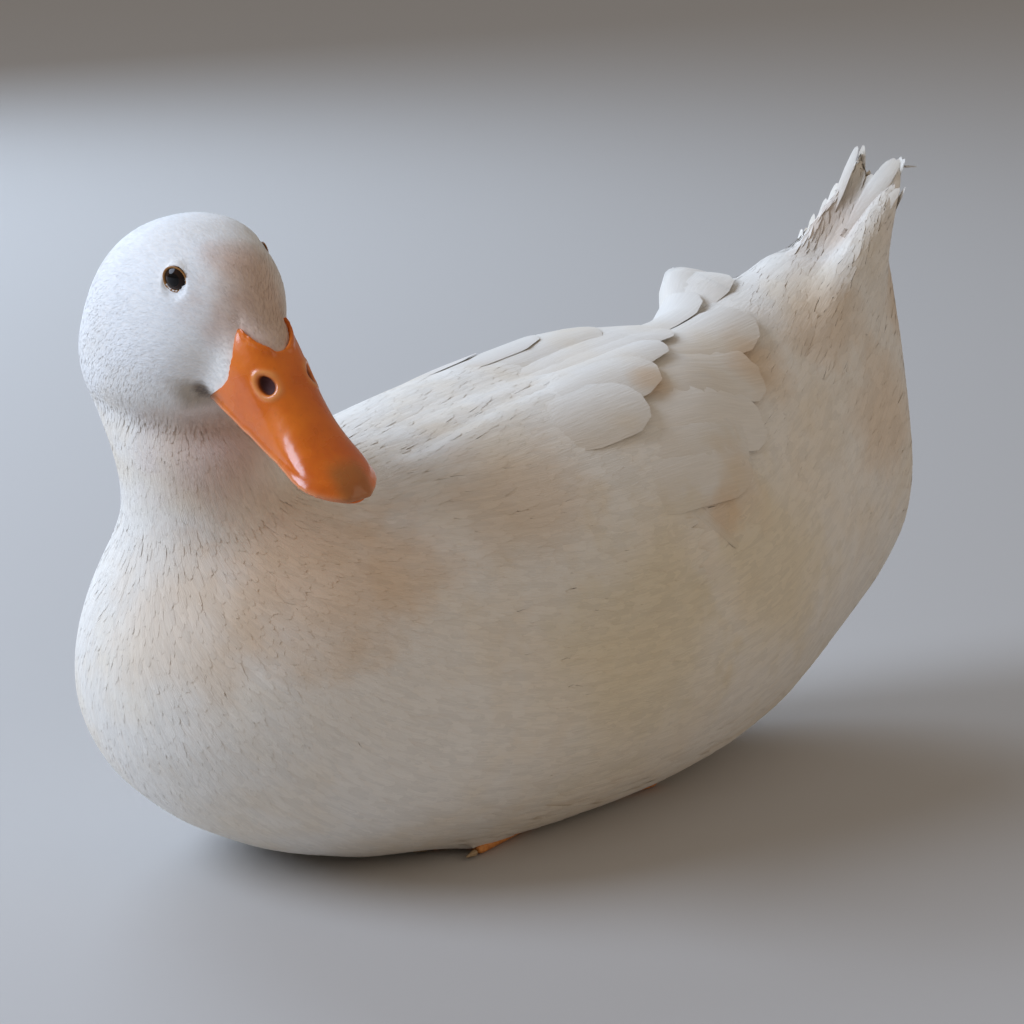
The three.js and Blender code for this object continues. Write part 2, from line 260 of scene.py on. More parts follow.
# %% Guides
spine = middle("trunk")
neck_middle = middle("neck")
tail_high = np.array(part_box("tail")[1])
tail_top = np.array([spine[0], tail_high[1] - 12 * MM, tail_high[2] - 18 * MM])
guides = np.array([
    head_place(24, 0, -28),
    head_place(-6, 0, -16),
    head_place(-34, 0, -30),
    neck_middle + np.array([4, 0, -2]) * MM,
    spine + np.array([0, -160, 45]) * MM,
    spine + np.array([0, -138, 5]) * MM,
    spine + np.array([0, -85, -15]) * MM,
    spine + np.array([0, 0, -18]) * MM,
    spine + np.array([0, 90, 5]) * MM,
    spine + np.array([0, 148, 45]) * MM,
    tail_top,
])
REACH = np.array([20, 20, 20, 22, 26, 32, 36, 40, 38, 32, 30]) * MM
directions = unit(np.gradient(guides, axis=0))


def nearness(places):
    """For each place, each guide's share, which add up to 1."""
    gap = np.linalg.norm(places[..., None, :] - guides, axis=-1) / REACH
    gap -= gap.min(-1, keepdims=True)
    share = np.exp(-0.5 * ((gap + 1) ** 2 - 1))
    return share / share.sum(-1, keepdims=True)


def along_body(places):
    return nearness(places) @ np.arange(len(guides))


def lie(places, normals):
    """The way that the feathers point at some places on the skin."""
    pull = nearness(places) @ directions
    pull -= normals * (pull * normals).sum(-1, keepdims=True)
    return unit(pull + 1e-9)


print("guides:", len(guides), "from the bill's root to the tail's tip")


# %% [markdown]
# ## Size of the feathers
#
# Feathers are smallest on the face, where they look like velvet, and longest on the flanks. Sizes
# could be set for each piece of the coat, but then they would jump where two pieces meet. Tables
# along the body make them change evenly from the bill to the tail.

# %% Size of the feathers along the body
# The columns are the guides above, from the bill's root to the tail's tip, in millimetres.
COAT_DEPTH = np.array([0.28, 0.28, 0.25, 0.2, 0.18, 0.2, 0.3, 0.35, 0.35, 0.3, 0.3]) * MM
COAT_LENGTH = np.array([2.6, 3.8, 5.0, 8.5, 13, 17, 23, 27, 28, 19, 11]) * MM
COAT_HALF = np.array([0.38, 0.46, 0.6, 0.85, 1.3, 1.8, 2.6, 3.2, 3.4, 2.4, 1.5]) * MM


def by_place(table, places):
    return np.interp(along_body(places), np.arange(len(guides)), table)


print("soft feathers, mm long:", COAT_LENGTH.min() / MM, "to", round(COAT_LENGTH.max() / MM))


# %% [markdown]
# ## Search trees
#
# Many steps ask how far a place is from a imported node, or which node is nearest. Measuring to every
# facet would take minutes. A search tree of each node answers in no time.

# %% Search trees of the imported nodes
FLESH = ["head", "neck", "trunk", "tail", "wing_left", "wing_right"]
BILLS = ["upper_bill", "lower_bill"]


def smooth(value, low, high):
    t = np.clip((value - low) / (high - low), 0, 1)
    return t * t * (3 - 2 * t)


def tree_of(mesh):
    return BVHTree.FromPolygons([v.co for v in mesh.vertices], [p.vertices for p in mesh.polygons])


def gaps_to(tree, places):
    return np.array([tree.find_nearest(Vector(p))[3] for p in places])


node_trees = {n: tree_of(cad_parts[n].data) for n in FLESH + BILLS}


def nearest_node(places, names):
    gaps = np.stack([gaps_to(node_trees[n], places) for n in names])
    return np.array(names)[gaps.argmin(0)], gaps


print("search trees:", ", ".join(node_trees))


# %% [markdown]
# ## What the wings and the tail bring to the skin
#
# A folded wing lies on the body, and its raised end and the tail's blades are feathers, not flesh.
# So copies of the wings are laid down at the rear, a second copy of each is drawn in to close the
# gap under it, and the tail's blades are lowered to a stump.

# %% Wings laid down and the tail lowered
UNDER_WING = 0.965  # the share of its distance from the trunk's axis that the drawn in copy keeps
TAIL_STUMP = 196 * MM  # the tail's blades are lowered to here for the melt
WING_LIES = (45 * MM, 85 * MM)  # between these the wing comes down on the trunk
NEARLY = 0.9  # the share of the way that they are lowered


def draw_in(shape, start):
    """Moves the points of a mesh from start on towards the trunk's long axis."""
    axis = Vector((spine[0], 0, spine[2]))
    for vert in list(shape.verts)[start:]:
        flat = Vector((vert.co.x, 0, vert.co.z)) - axis
        vert.co -= flat * (1 - UNDER_WING)


def without_tips(shape, start, node_name):
    """Lays the raised wing tip on the trunk and lowers the tail's blades, which become feathers."""
    for vert in list(shape.verts)[start:]:
        if node_name.startswith("wing"):
            spot = node_trees["trunk"].find_nearest(vert.co)[0]
            vert.co = vert.co.lerp(spot, NEARLY * float(smooth(vert.co.y, *WING_LIES)))
        if node_name == "tail":
            vert.co.z -= NEARLY * max(vert.co.z - TAIL_STUMP, 0)


print("the wings come down between y", WING_LIES, "m")


# %% [markdown]
# ## The fleshy middle of the tail
#
# The cocked tail is a soft cone with a hollow on its front. Its flesh isn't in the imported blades.
# A ridge through a few outlines from side to side gives it, with one peak and one broad lobe.

# %% The tail's ridge
# Columns in millimetres: aside, the top's y, the top's z, the rear's y.
TAIL_CORE = np.array([
    (-32, 172, 188, 168), (-27, 178, 199, 176), (-20, 184, 210, 186), (-13, 189, 222, 193),
    (-8, 192, 229, 197), (-4, 193, 239, 198), (0, 193, 229, 199), (6, 194, 227, 198),
    (12, 193, 232, 194), (18, 191, 237, 188), (24, 188, 237, 182), (28, 184, 226, 175),
])


def add_tail_core(shape):
    """A closed ridge from side to side, with a thin top and a broad foot."""
    rings = []
    for x, y, z, rear in TAIL_CORE:
        foot = z - 41 - 12 * (x / 28) ** 2
        outline = [(y - 44, foot), (y - 3, z - 3), (y + 1, z)]
        outline += [(rear - 1, z - 34), (rear - 3, 152), (140, 152)]
        rings.append([shape.verts.new(Vector((x, a, b)) * MM) for a, b in outline])
    for one, other in zip(rings, rings[1:]):
        for k in range(len(one)):
            nxt = (k + 1) % len(one)
            shape.faces.new((one[k], one[nxt], other[nxt], other[k]))
    shape.faces.new(rings[0][::-1])
    shape.faces.new(rings[-1])


print("the tail's ridge is highest at", TAIL_CORE[:, 2].max(), "mm")


# %% [markdown]
# ## Melting nodes into one surface
#
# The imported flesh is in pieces, with thin gaps between them and flat facets. Joining them with
# booleans would keep every seam. A voxel remesh melts copies of them into one closed surface
# instead. The same melt later gives the bill, the feet and the claws their round forms.

# %% Melt nodes
BEAD = 1.1 * MM


def melted(name, nodes, voxel, drawn_in=(), beads=()):
    """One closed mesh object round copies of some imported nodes, and round beads at some places."""
    shape = bmesh.new()
    for spot in beads:
        bead = bmesh.ops.create_icosphere(shape, subdivisions=1, radius=BEAD)
        bmesh.ops.translate(shape, verts=bead["verts"], vec=Vector(spot))
    for node_name in nodes:
        start = len(shape.verts)
        shape.from_mesh(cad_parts[node_name].data)
        if drawn_in:
            without_tips(shape, start, node_name)
    for node_name in drawn_in:
        start = len(shape.verts)
        shape.from_mesh(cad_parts[node_name].data)
        without_tips(shape, start, node_name)
        draw_in(shape, start)
    if drawn_in:
        add_tail_core(shape)
    bmesh.ops.remove_doubles(shape, verts=shape.verts, dist=1e-6)
    mesh = bpy.data.meshes.new(name)
    shape.to_mesh(mesh)
    shape.free()
    piece = bpy.data.objects.new(name, mesh)
    bpy.context.scene.collection.objects.link(piece)
    remesh = piece.modifiers.new("melt", "REMESH")
    remesh.mode = "VOXEL"
    remesh.voxel_size = voxel
    ready = piece.evaluated_get(bpy.context.evaluated_depsgraph_get())
    melted_mesh = bpy.data.meshes.new_from_object(ready)
    piece.modifiers.remove(remesh)
    piece.data = melted_mesh
    melted_mesh.name = name
    melted_mesh.materials.clear()
    return piece


# %% Drop crumbs
def keep_largest(mesh):
    """Drops the loose crumbs that thin tips leave in a melt."""
    shape = bmesh.new()
    shape.from_mesh(mesh)
    waiting, best = set(shape.verts), []
    while waiting:
        part = [waiting.pop()]
        for vert in part:
            for edge in vert.link_edges:
                other = edge.other_vert(vert)
                if other in waiting:
                    waiting.remove(other)
                    part.append(other)
        best = max(best, part, key=len)
    crumbs = list(set(shape.verts) - set(best))
    bmesh.ops.delete(shape, geom=crumbs, context="VERTS")
    shape.to_mesh(mesh)
    shape.free()
    print("crumbs dropped:", len(crumbs), "points")


# %% Points of a mesh as arrays
def points_of(mesh):
    points = np.empty(len(mesh.vertices) * 3)
    mesh.vertices.foreach_get("co", points)
    return points.reshape(-1, 3)


def set_points(mesh, points):
    mesh.vertices.foreach_set("co", points.astype(np.float32).ravel())
    mesh.update()


def normals_of(mesh):
    normals = np.empty(len(mesh.vertices) * 3)
    mesh.vertex_normals.foreach_get("vector", normals)
    return normals.reshape(-1, 3)


def relaxed(mesh, values, times, share=0.5):
    """Moves each point's value towards the mean of its neighbours' values, again and again."""
    edges = np.empty(len(mesh.edges) * 2, int)
    mesh.edges.foreach_get("vertices", edges)
    one, other = edges[0::2], edges[1::2]
    here, there = np.r_[one, other], np.r_[other, one]
    count = np.bincount(here, minlength=len(values))[:, None]
    share = np.broadcast_to(share, len(values))[:, None]
    for _ in range(times):
        total = [np.bincount(here, values[there, k], len(values)) for k in range(values.shape[1])]
        values = values + share * (np.stack(total, 1) / count - values)
    return values


# %% [markdown]
# ## The skin
#
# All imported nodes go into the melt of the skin: the eyes, bill and feet fill their sockets. Then
# relaxing the points takes the facets away, gently on the head, whose form matters most, and at
# the tail's thin top, and more on the body.

# %% The skin melted and relaxed
skin = melted("skin", list(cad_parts), 2.2 * MM, ["wing_left", "wing_right"])
keep_largest(skin.data)
points = points_of(skin.data)
softness = np.interp(along_body(points), [0, 2, 4, 8, 9, 9.8], [0.12, 0.25, 0.5, 0.5, 0.4, 0.15])
points = relaxed(skin.data, points, 36, softness)
print("skin:", len(skin.data.polygons), "faces")


# %% [markdown]
# ## Room for the coat
#
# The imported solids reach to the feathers' tips, so the skin sinks by the coat's depth, and the tips
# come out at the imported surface. Under the bill it sinks further, so that it never shows through
# the horn. Near the eyes its mesh is made finer first, for the lids.

# %% Finer round the eyes
def refine(mesh, centres, reach):
    """Halves the edges of the mesh near some centres, twice."""
    shape = bmesh.new()
    shape.from_mesh(mesh)
    spots = [Vector(c) for c in centres]
    for _ in range(2):
        inside = {v for v in shape.verts if min((v.co - c).length for c in spots) < reach}
        near = [e for e in shape.edges if inside.issuperset(e.verts)]
        bmesh.ops.subdivide_edges(shape, edges=near, cuts=1, use_grid_fill=True)
    bmesh.ops.triangulate(shape, faces=[f for f in shape.faces if len(f.verts) > 4])
    shape.to_mesh(mesh)
    shape.free()


set_points(skin.data, points)
refine(skin.data, eye_centres.values(), 13 * MM)
points = points_of(skin.data)
near_eyes = np.min([np.linalg.norm(points - c, axis=1) for c in eye_centres.values()], axis=0)
points = relaxed(skin.data, points, 10, 0.5 * (1 - smooth(near_eyes, 10 * MM, 14 * MM)))
set_points(skin.data, points)
print("skin:", len(skin.data.polygons), "faces with the eyes' surroundings refined")

# %% Sink the skin under the coat
HORN_ROOM = 2.8  # how much deeper than the coat's edge it sinks under the bare bill, in millimetres
sink = by_place(COAT_DEPTH, points)
near_head = np.linalg.norm(points - head_place(30, 0, -36), axis=1) < 75 * MM
rows = np.where(near_head)[0]
bill_gap = np.minimum(*(gaps_to(node_trees[n], points[rows]) for n in BILLS))
over_bill = 1 - smooth(bill_gap, 1 * MM, 2.5 * MM)
under_bill = (0.35 + HORN_ROOM * smooth(-covered(points[rows]), 1.2, 3.5)) * MM
sink[rows] = sink[rows] * (1 - over_bill) + under_bill * over_bill
print("skin to sink by", round(sink.min() / MM, 1), "to", round(sink.max() / MM, 1), "mm")


# %% [markdown]
# ## Seats of the eyes
#
# A duck's eye sits in a shallow dish, and its opening faces a little forward. The eyeball's middle
# comes from how high the skin stands round the opening, so that it neither bulges nor drowns, and
# it is moved along the eye's own axis only.

# %% Where each eye sits
EYE_RADIUS = 6.8 * MM
EYE_OPEN = 4.3 * MM  # half width of the opening between the lids
EYE_DEEP = {"left": 3.0 * MM, "right": 0.5 * MM}  # how far the lids lie in from the cheek
EYE_FORWARD = {"left": math.radians(12), "right": math.radians(24)}


def across_eye(side, places):
    """How far places are out along the eye's axis, and off it."""
    offset = places - eye_seats[side]
    out = offset @ eye_axes[side]
    return out, np.sqrt(np.maximum((offset ** 2).sum(-1) - out ** 2, 0))


eye_seats, eye_axes = dict(eye_centres), {}
for side, sign in (("left", 1), ("right", -1)):
    turn = EYE_FORWARD[side]
    eye_axes[side] = unit(to_bill * math.sin(turn) + to_left * sign * math.cos(turn) + to_crown * 0.1)
    out, off_axis = across_eye(side, points)
    rim = (out > 0) & (np.abs(off_axis - EYE_OPEN) < 1 * MM)
    level_here = out[rim].mean() - math.sqrt(EYE_RADIUS ** 2 - EYE_OPEN ** 2) - EYE_DEEP[side]
    eye_seats[side] = eye_centres[side] + eye_axes[side] * level_here
    print(f"{side} eye moved", round(level_here / MM, 2), "mm along its axis")
    sink[out > 0] *= smooth(off_axis, 6 * MM, 12 * MM)[out > 0]
points = points - normals_of(skin.data) * sink[:, None]

# %% Keep the skin inside the bare bill
INSIDE_HORN = 1.2 * MM
for name in BILLS:
    found = [node_trees[name].find_nearest(Vector(p))[:2] for p in points[rows]]
    spots, outs = (np.array([tuple(f[k]) for f in found]) for k in (0, 1))
    gap = points[rows] - spots
    height = (gap * outs).sum(1)
    bare = smooth(-covered(points[rows]), -2.5, 2) * (np.linalg.norm(gap, axis=1) < 9 * MM)
    points[rows] -= outs * (np.maximum(height + INSIDE_HORN, 0) * bare)[:, None]
print("points near the bill:", len(rows))

# %% [markdown]
# ## Lids in the skin
#
# Round the opening the skin stays up as lids and closes in on the ball, and inside the opening it
# lies behind the ball. Sculpted by hand, this would break when the eye moves. Here each part is a
# curve of the distance off the eye's axis: lid, pit, wrap, dent and the funnel that caps the rest.

# %% Lids and sockets
for side in ("left", "right"):
    out, off_axis = across_eye(side, points)
    lid = 0.3 * MM * np.exp(-((off_axis - 5.4 * MM) / (1.3 * MM)) ** 2)
    ball = np.sqrt(np.maximum(EYE_RADIUS ** 2 - off_axis ** 2, 0)) - 0.8 * MM
    pit = np.minimum(ball - out, 0) * (1 - smooth(off_axis, 3.7 * MM, 4.5 * MM))
    wrap = np.maximum(ball + 1.1 * MM - out, 0) * smooth(off_axis, 4.2 * MM, 4.8 * MM)
    wrap = np.where(off_axis < EYE_RADIUS, wrap, 0)
    dent = -EYE_DEEP[side] * np.exp(-((off_axis / (7 * MM)) ** 2))
    funnel = math.sqrt(EYE_RADIUS ** 2 - EYE_OPEN ** 2) + 0.8 * np.maximum(off_axis - EYE_OPEN, 0)
    cap = np.minimum(funnel - out - lid - dent, 0) * (1 - smooth(off_axis, 7 * MM, 11 * MM))
    shift = np.where(off_axis < EYE_OPEN, pit, cap) + lid + wrap + dent
    points[out > 0] += eye_axes[side] * shift[out > 0, None]
    print(f"{side} socket moves the skin by up to", round(np.abs(shift[out > 0]).max() / MM, 1), "mm")

# %% [markdown]
# ## Fold, hollows and swellings
#
# A fold runs under the cheeks where the head turns on the neck. The plumage sinks between the wings
# and below them, swells on the flank and stands up in a lobe over the far wing's tip. Each is a
# soft ball of push or pull along the skin's normals, which never tears it.

# %% The fold under the cheeks
along, side, height = in_head(points).T
under_cheek = smooth(along, -42, -26) * (1 - smooth(along, 20, 30))
fold = 1.3 * np.exp(-((height + 51) / 6) ** 2) - 2.2 * np.exp(-((height + 62) / 5) ** 2)
near_fold = np.linalg.norm(points - head_place(-10, 0, -58), axis=1) < 48 * MM
points += normals_of(skin.data) * (fold * under_cheek * near_fold)[:, None] * MM
set_points(skin.data, points)
skin_tree = tree_of(skin.data)
print("fold under the cheeks:", int(near_fold.sum()), "points")


# %% Hollows and swellings of the plumage
def on_body(y, angle):
    """The skin's place at y (mm) in the direction of angle, from 0 at the left side to 90 on top."""
    a = math.radians(angle)
    start = Vector((spine[0], y * MM, 90 * MM))
    out = Vector((math.cos(a), 0, math.sin(a)))
    return np.array(skin_tree.ray_cast(start + out * 0.3, -out)[0])


# Columns: along the body and angle round it, reach, height; the groove lies between the wings.
groove = [(y, 71 + (y + 80) * 0.09, 7, -2.2) for y in range(-80, 0, 12)]
relief = groove + [
    (16, 21, 12, -3.5),
    (52, 20, 17, 2.5),
    (60, 38, 8, -3.0),
    (96, 30, 16, -1.4),
    (130, 66, 8, -1.6),
    (121, 106, 12.5, 20.0),
    (-20, 15, 45, 1.5),
    (-125, 42, 26, -1.5),
]
lifted = sum(height * np.exp(-((np.linalg.norm(points - on_body(y, a), axis=1) / (reach * MM)) ** 2))
             for y, a, reach, height in relief)
points = points + normals_of(skin.data) * lifted[:, None] * MM
set_points(skin.data, points)
skin_tree = tree_of(skin.data)
skin_normals = unit(relaxed(skin.data, normals_of(skin.data), 6))
face_normals = unit(np.array([skin_normals[list(p.vertices)].mean(0) for p in skin.data.polygons]))
print("relief:", len(relief), "places, from", round(lifted.min(), 1), "to", round(lifted.max(), 1), "mm")


# %% [markdown]
# ## Colours of the plumage
#
# A white duck is not one white. Its coat is cream in soft mottles, tan on the forehead, stained at
# the corner of the bill and yellowish low on the flanks. Painted warm shade darkens its hollows, folds,
# shaded side and low flanks, and painted shade darkens the corners of the mouth. Painted maps would
# need an unwrap of every vane. Skin and feathers share one node group that reads the place on the
# duck instead. Each mark is a soft ball of colour round a named place.

# %% The marks
# Columns: place, reach in millimetres, colour, amount.
# The near-black at the corners of the mouth is painted shade. The ochre is painted warm shade in the hollows
# and folds of the plumage and on its shaded side, and the straw is a yellowish stain low on the flanks with
# painted warm shade added.
TAN, STAIN, GAPE_SHADE = (0.62, 0.36, 0.22), (0.38, 0.29, 0.19), (0.09, 0.055, 0.035)
SHADE_OCHRE, STRAW_STAIN_AND_SHADE = (0.72, 0.50, 0.29), (0.76, 0.63, 0.40)
marks = [
    (head_place(-16, 0, -20), 85, (0.93, 0.93, 0.93), 1.0),
    (neck_middle + np.array([26, -10, -8]) * MM, 36, TAN, 0.45),
    # Painted warm shade on the breast.
    (np.array([18, -188, 108]) * MM, 44, SHADE_OCHRE, 0.4),
    (head_place(30, 0, -8), 30, TAN, 0.65),
    (head_place(14, 0, 4), 19, TAN, 0.6),
    (head_place(10, 17, -43), 13, STAIN, 0.75),
    (head_place(10, -17, -43), 13, STAIN, 0.75),
    # Painted shade in the corners of the mouth.
    (head_place(13, 15, -40), 6.5, GAPE_SHADE, 0.85),
    (head_place(13, -15, -40), 6.5, GAPE_SHADE, 0.85),
    # Painted warm shade on the shaded breast and flank, in the hollows and folds and at the tail.
    (on_body(-152, 32), 52, SHADE_OCHRE, 0.6),
    (on_body(-120, 28), 26, SHADE_OCHRE, 0.35),
    (on_body(-60, 38), 38, SHADE_OCHRE, 0.4),
    # A yellowish stain low on the flanks, with painted warm shade.
    (on_body(-20, -6), 70, STRAW_STAIN_AND_SHADE, 0.65),
    (on_body(60, 4), 60, STRAW_STAIN_AND_SHADE, 0.6),
    # The tail's front, darker in its middle: a tan stain with painted shade.
    (np.array([4, 172, 208]) * MM, 26, TAN, 0.25),
    (np.array([22, 196, 175]) * MM, 26, SHADE_OCHRE, 0.5),
    (on_body(28, 62), 13, SHADE_OCHRE, 0.6),
    (on_body(96, 66), 22, SHADE_OCHRE, 0.6),
    (on_body(46, 28), 22, SHADE_OCHRE, 0.3),
    (on_body(30, 22), 14, SHADE_OCHRE, 0.6),
    (on_body(140, 72), 26, SHADE_OCHRE, 0.45),
    (on_body(165, 45), 34, SHADE_OCHRE, 0.45),
    (on_body(120, 150), 50, SHADE_OCHRE, 0.3),
    (on_body(0, 175), 80, STRAW_STAIN_AND_SHADE, 0.35),
]
print("marks on the coat:", len(marks))


# %% The markings as a node group
def node_group(name, inputs, outputs):
    """A shader group with named sockets: inputs are (name, kind, default), outputs (name, kind)."""
    group = bpy.data.node_groups.new(name, "ShaderNodeTree")
    for label, kind, default in inputs:
        socket = group.interface.new_socket(label, in_out="INPUT", socket_type=f"NodeSocket{kind}")
        socket.default_value = default
    for label, kind in outputs:
        group.interface.new_socket(label, in_out="OUTPUT", socket_type=f"NodeSocket{kind}")
    entry = group.nodes.new("NodeGroupInput")
    leave = group.nodes.new("NodeGroupOutput")
    return group, entry, leave


def math_node(tree, operation, first, second):
    return add(tree, "Math", {0: first, 1: second}, operation=operation).outputs[0]


markings, entry, leave = node_group(
    "plumage_markings",
    [("White", "Color", (0.85, 0.81, 0.745, 1)), ("Cream", "Color", (0.83, 0.70, 0.52, 1)),
     ("Mottle", "Float", 0.5), ("Marks", "Float", 1.0)],
    [("Color", "Color")],
)
place = add(markings, "TexCoord").outputs["Object"]
large = add(markings, "TexNoise", {"Vector": place, "Scale": 22.0, "Detail": 2.0}).outputs[0]
fine = add(markings, "TexNoise", {"Vector": place, "Scale": 90.0, "Detail": 3.0}).outputs[0]
mottle = math_node(markings, "MULTIPLY", ramp(markings, large, 0.42, 0.68), entry.outputs["Mottle"])
mottle = math_node(markings, "MULTIPLY", mottle, ramp(markings, fine, 0.2, 0.7, 0.4, 1.0))
colour = blend_colour(markings, mottle, entry.outputs["White"], entry.outputs["Cream"])
wobble = add(markings, "TexNoise", {"Vector": place, "Scale": 45.0, "Detail": 3.0}).outputs[0]
for centre, reach, tint, amount in marks:
    gap = add(markings, "VectorMath", {0: place, 1: centre}, operation="DISTANCE").outputs["Value"]
    ragged = math_node(markings, "MULTIPLY", gap, ramp(markings, wobble, 0.3, 0.7, 0.75, 1.25))
    share = ramp(markings, ragged, 0.25 * reach * MM, reach * MM, amount, 0.0)
    share = math_node(markings, "MULTIPLY", share, entry.outputs["Marks"])
    colour = blend_colour(markings, share, colour, tint)
markings.links.new(colour, leave.inputs["Color"])
print("markings:", len(marks), "places,", len(markings.nodes), "nodes")


# %% [markdown]
# ## Finishes of skin and feathers
#
# Painted warm shade makes the down under the feathers and each feather's hidden root a little
# warmer than the tips, and a feather is dull, with a faint sheen and fine barbs that run along it.
# The barbs are too small for mesh, so they are a streaky relief in each vane's own map. Each
# feather also has a tone of its own, so that they part.

# %% Skin and feather materials
def markings_in(tree):
    made = tree.nodes.new("ShaderNodeGroup")
    made.node_tree = markings
    return made.outputs["Color"]


skin_finish, tree, shader = blank_material("plumage_down", Roughness=0.9)
# The down is tinted a little warm: painted shade in the gaps between the feathers.
down = blend_colour(tree, 0.12, markings_in(tree), (0.72, 0.56, 0.40))
tree.links.new(down, shader.inputs["Base Color"])

# Along a feather the hidden root is painted warmer as shade and the tip is white, and each feather has its
# own tone.
feather_finish, tree, shader = blank_material(
    "plumage_feather", Roughness=0.7, Sheen_Weight=0.2, Sheen_Roughness=0.5,
)
shader.inputs["Specular IOR Level"].default_value = 0.25
tone = add(tree, "Attribute", attribute_name="tone").outputs["Fac"]
reach = add(tree, "Attribute", attribute_name="reach").outputs["Fac"]
vane = add(tree, "UVMap", uv_map="Vane").outputs[0]
split = add(tree, "SeparateXYZ", {0: vane})
streak_place = add(tree, "CombineXYZ", {
    0: math_node(tree, "MULTIPLY", split.outputs[0], 9.0),
    1: math_node(tree, "MULTIPLY", split.outputs[1], 1.6),
    2: math_node(tree, "MULTIPLY", tone, 37.0),
}).outputs[0]
streaks = add(tree, "TexNoise", {"Vector": streak_place, "Scale": 1.0, "Detail": 3.0}).outputs[0]
colour = markings_in(tree)
# Painted warm shade at the roots, which lie deep in the coat.
warm = blend_colour(tree, 0.18, colour, (0.78, 0.62, 0.46))
colour = blend_colour(tree, ramp(tree, reach, 0.15, 0.8), warm, colour)
dim = add(tree, "HueSaturation", {
    "Color": colour,
    "Value": ramp(tree, math_node(tree, "ADD", math_node(tree, "MULTIPLY", tone, 0.5), streaks),
                  0.35, 1.1, 0.93, 1.04),
}).outputs[0]
tree.links.new(dim, shader.inputs["Base Color"])
bump = add(tree, "Bump", {"Height": streaks, "Strength": 0.45, "Distance": 0.0004}).outputs[0]
tree.links.new(bump, shader.inputs["Normal"])
skin.data.materials.append(skin_finish)
print("finishes:", skin_finish.name, feather_finish.name)


# %% [markdown]
# ## Feathers
#
# Each soft feather is one small closed vane: rows of points from the root to the tip, columns from
# edge to edge, a crowned top and a flat underside. The columns end at their own lengths, which
# rounds the tip and frays it. Thousands of vanes are worked out together as numpy arrays and
# written as one mesh. A vane follows the skin row by row along the lie, and it rises evenly from
# its root, so that each feather covers the ones behind it, like tiles.

# %% Walk over the skin
LEAVES_AT = 0.22  # how far the skin falls away in a step, as a share of it, before a free vane leaves


def nearest_skin(places):
    """The nearest places on the skin and the normals there."""
    flat = places.reshape(-1, 3)
    found = np.empty_like(flat)
    out = np.empty_like(flat)
    for k, p in enumerate(flat):
        spot, _, face, _ = skin_tree.find_nearest(Vector(p))
        found[k] = spot
        out[k] = face_normals[face]
    return found.reshape(places.shape), out.reshape(places.shape)


def walk(roots, step, rows, turn, free):
    """Rows of places, normals and headings from each root, along the lie turned by an angle. Free
    vanes go straight on where the skin turns away under them."""
    places, normals = nearest_skin(roots)
    trail = []
    for row in range(rows):
        ahead = lie(places, normals)
        cross = np.cross(normals, ahead)
        ahead = ahead * np.cos(turn)[:, None] + cross * np.sin(turn)[:, None]
        trail.append((places, normals, ahead))
        if row + 1 < rows:
            onward = places + ahead * step[:, None]
            found, out = nearest_skin(onward)
            leaves = ((onward - found) * normals).sum(1) > LEAVES_AT * step
            leaves = (leaves & free)[:, None]
            places, normals = np.where(leaves, onward, found), np.where(leaves, normals, out)
    return [np.stack(parts, 1) for parts in zip(*trail)]


def on_trail(trail, s):
    """Values of a trail (N, rows, 3) at the shares s (N, rows, columns) of its way."""
    steps = s * (trail.shape[1] - 1)
    before = np.minimum(steps.astype(int), trail.shape[1] - 2)
    share = (steps - before)[..., None]
    k = np.arange(len(trail))[:, None, None]
    return trail[k, before] * (1 - share) + trail[k, before + 1] * share


# %% [markdown]
# ## One vane
#
# All vanes of a piece have the same faces and differ only in their points, so the faces are listed
# once and repeated. The underside is one strip from edge to edge, since no one sees its middle,
# which halves the count.

# %% The faces of one vane
def vane_faces(columns, rows):
    """Corner lists of a closed vane: top, underside, root cap and tip cap."""
    def at(row, column):
        return row * columns + column

    last = columns - 1
    faces = []
    for r in range(rows - 1):
        for c in range(last):
            faces.append([at(r, c), at(r, c + 1), at(r + 1, c + 1), at(r + 1, c)])
    under = [[at(r, 0), at(r + 1, 0), at(r + 1, last), at(r, last)] for r in range(rows - 1)]
    root = [at(0, c) for c in reversed(range(columns))]
    tip = [at(rows - 1, c) for c in range(columns)]
    return faces, under + [root, tip]


print("a vane of 5 columns and 6 rows has", sum(map(len, vane_faces(5, 6))), "faces")


# %% [markdown]
# ## Growing feathers
#
# A feather rises from its root to its tip, widens from a narrow base, is a little crowned, and has
# edges that dip among its neighbours and end before its middle. Each of these is one line below,
# worked out for all feathers at once, with a little chance in length, width and heading.

# %% Grow feathers
TUCK = 0.3  # how far a vane's edges dip among its neighbours, as a share of its rise


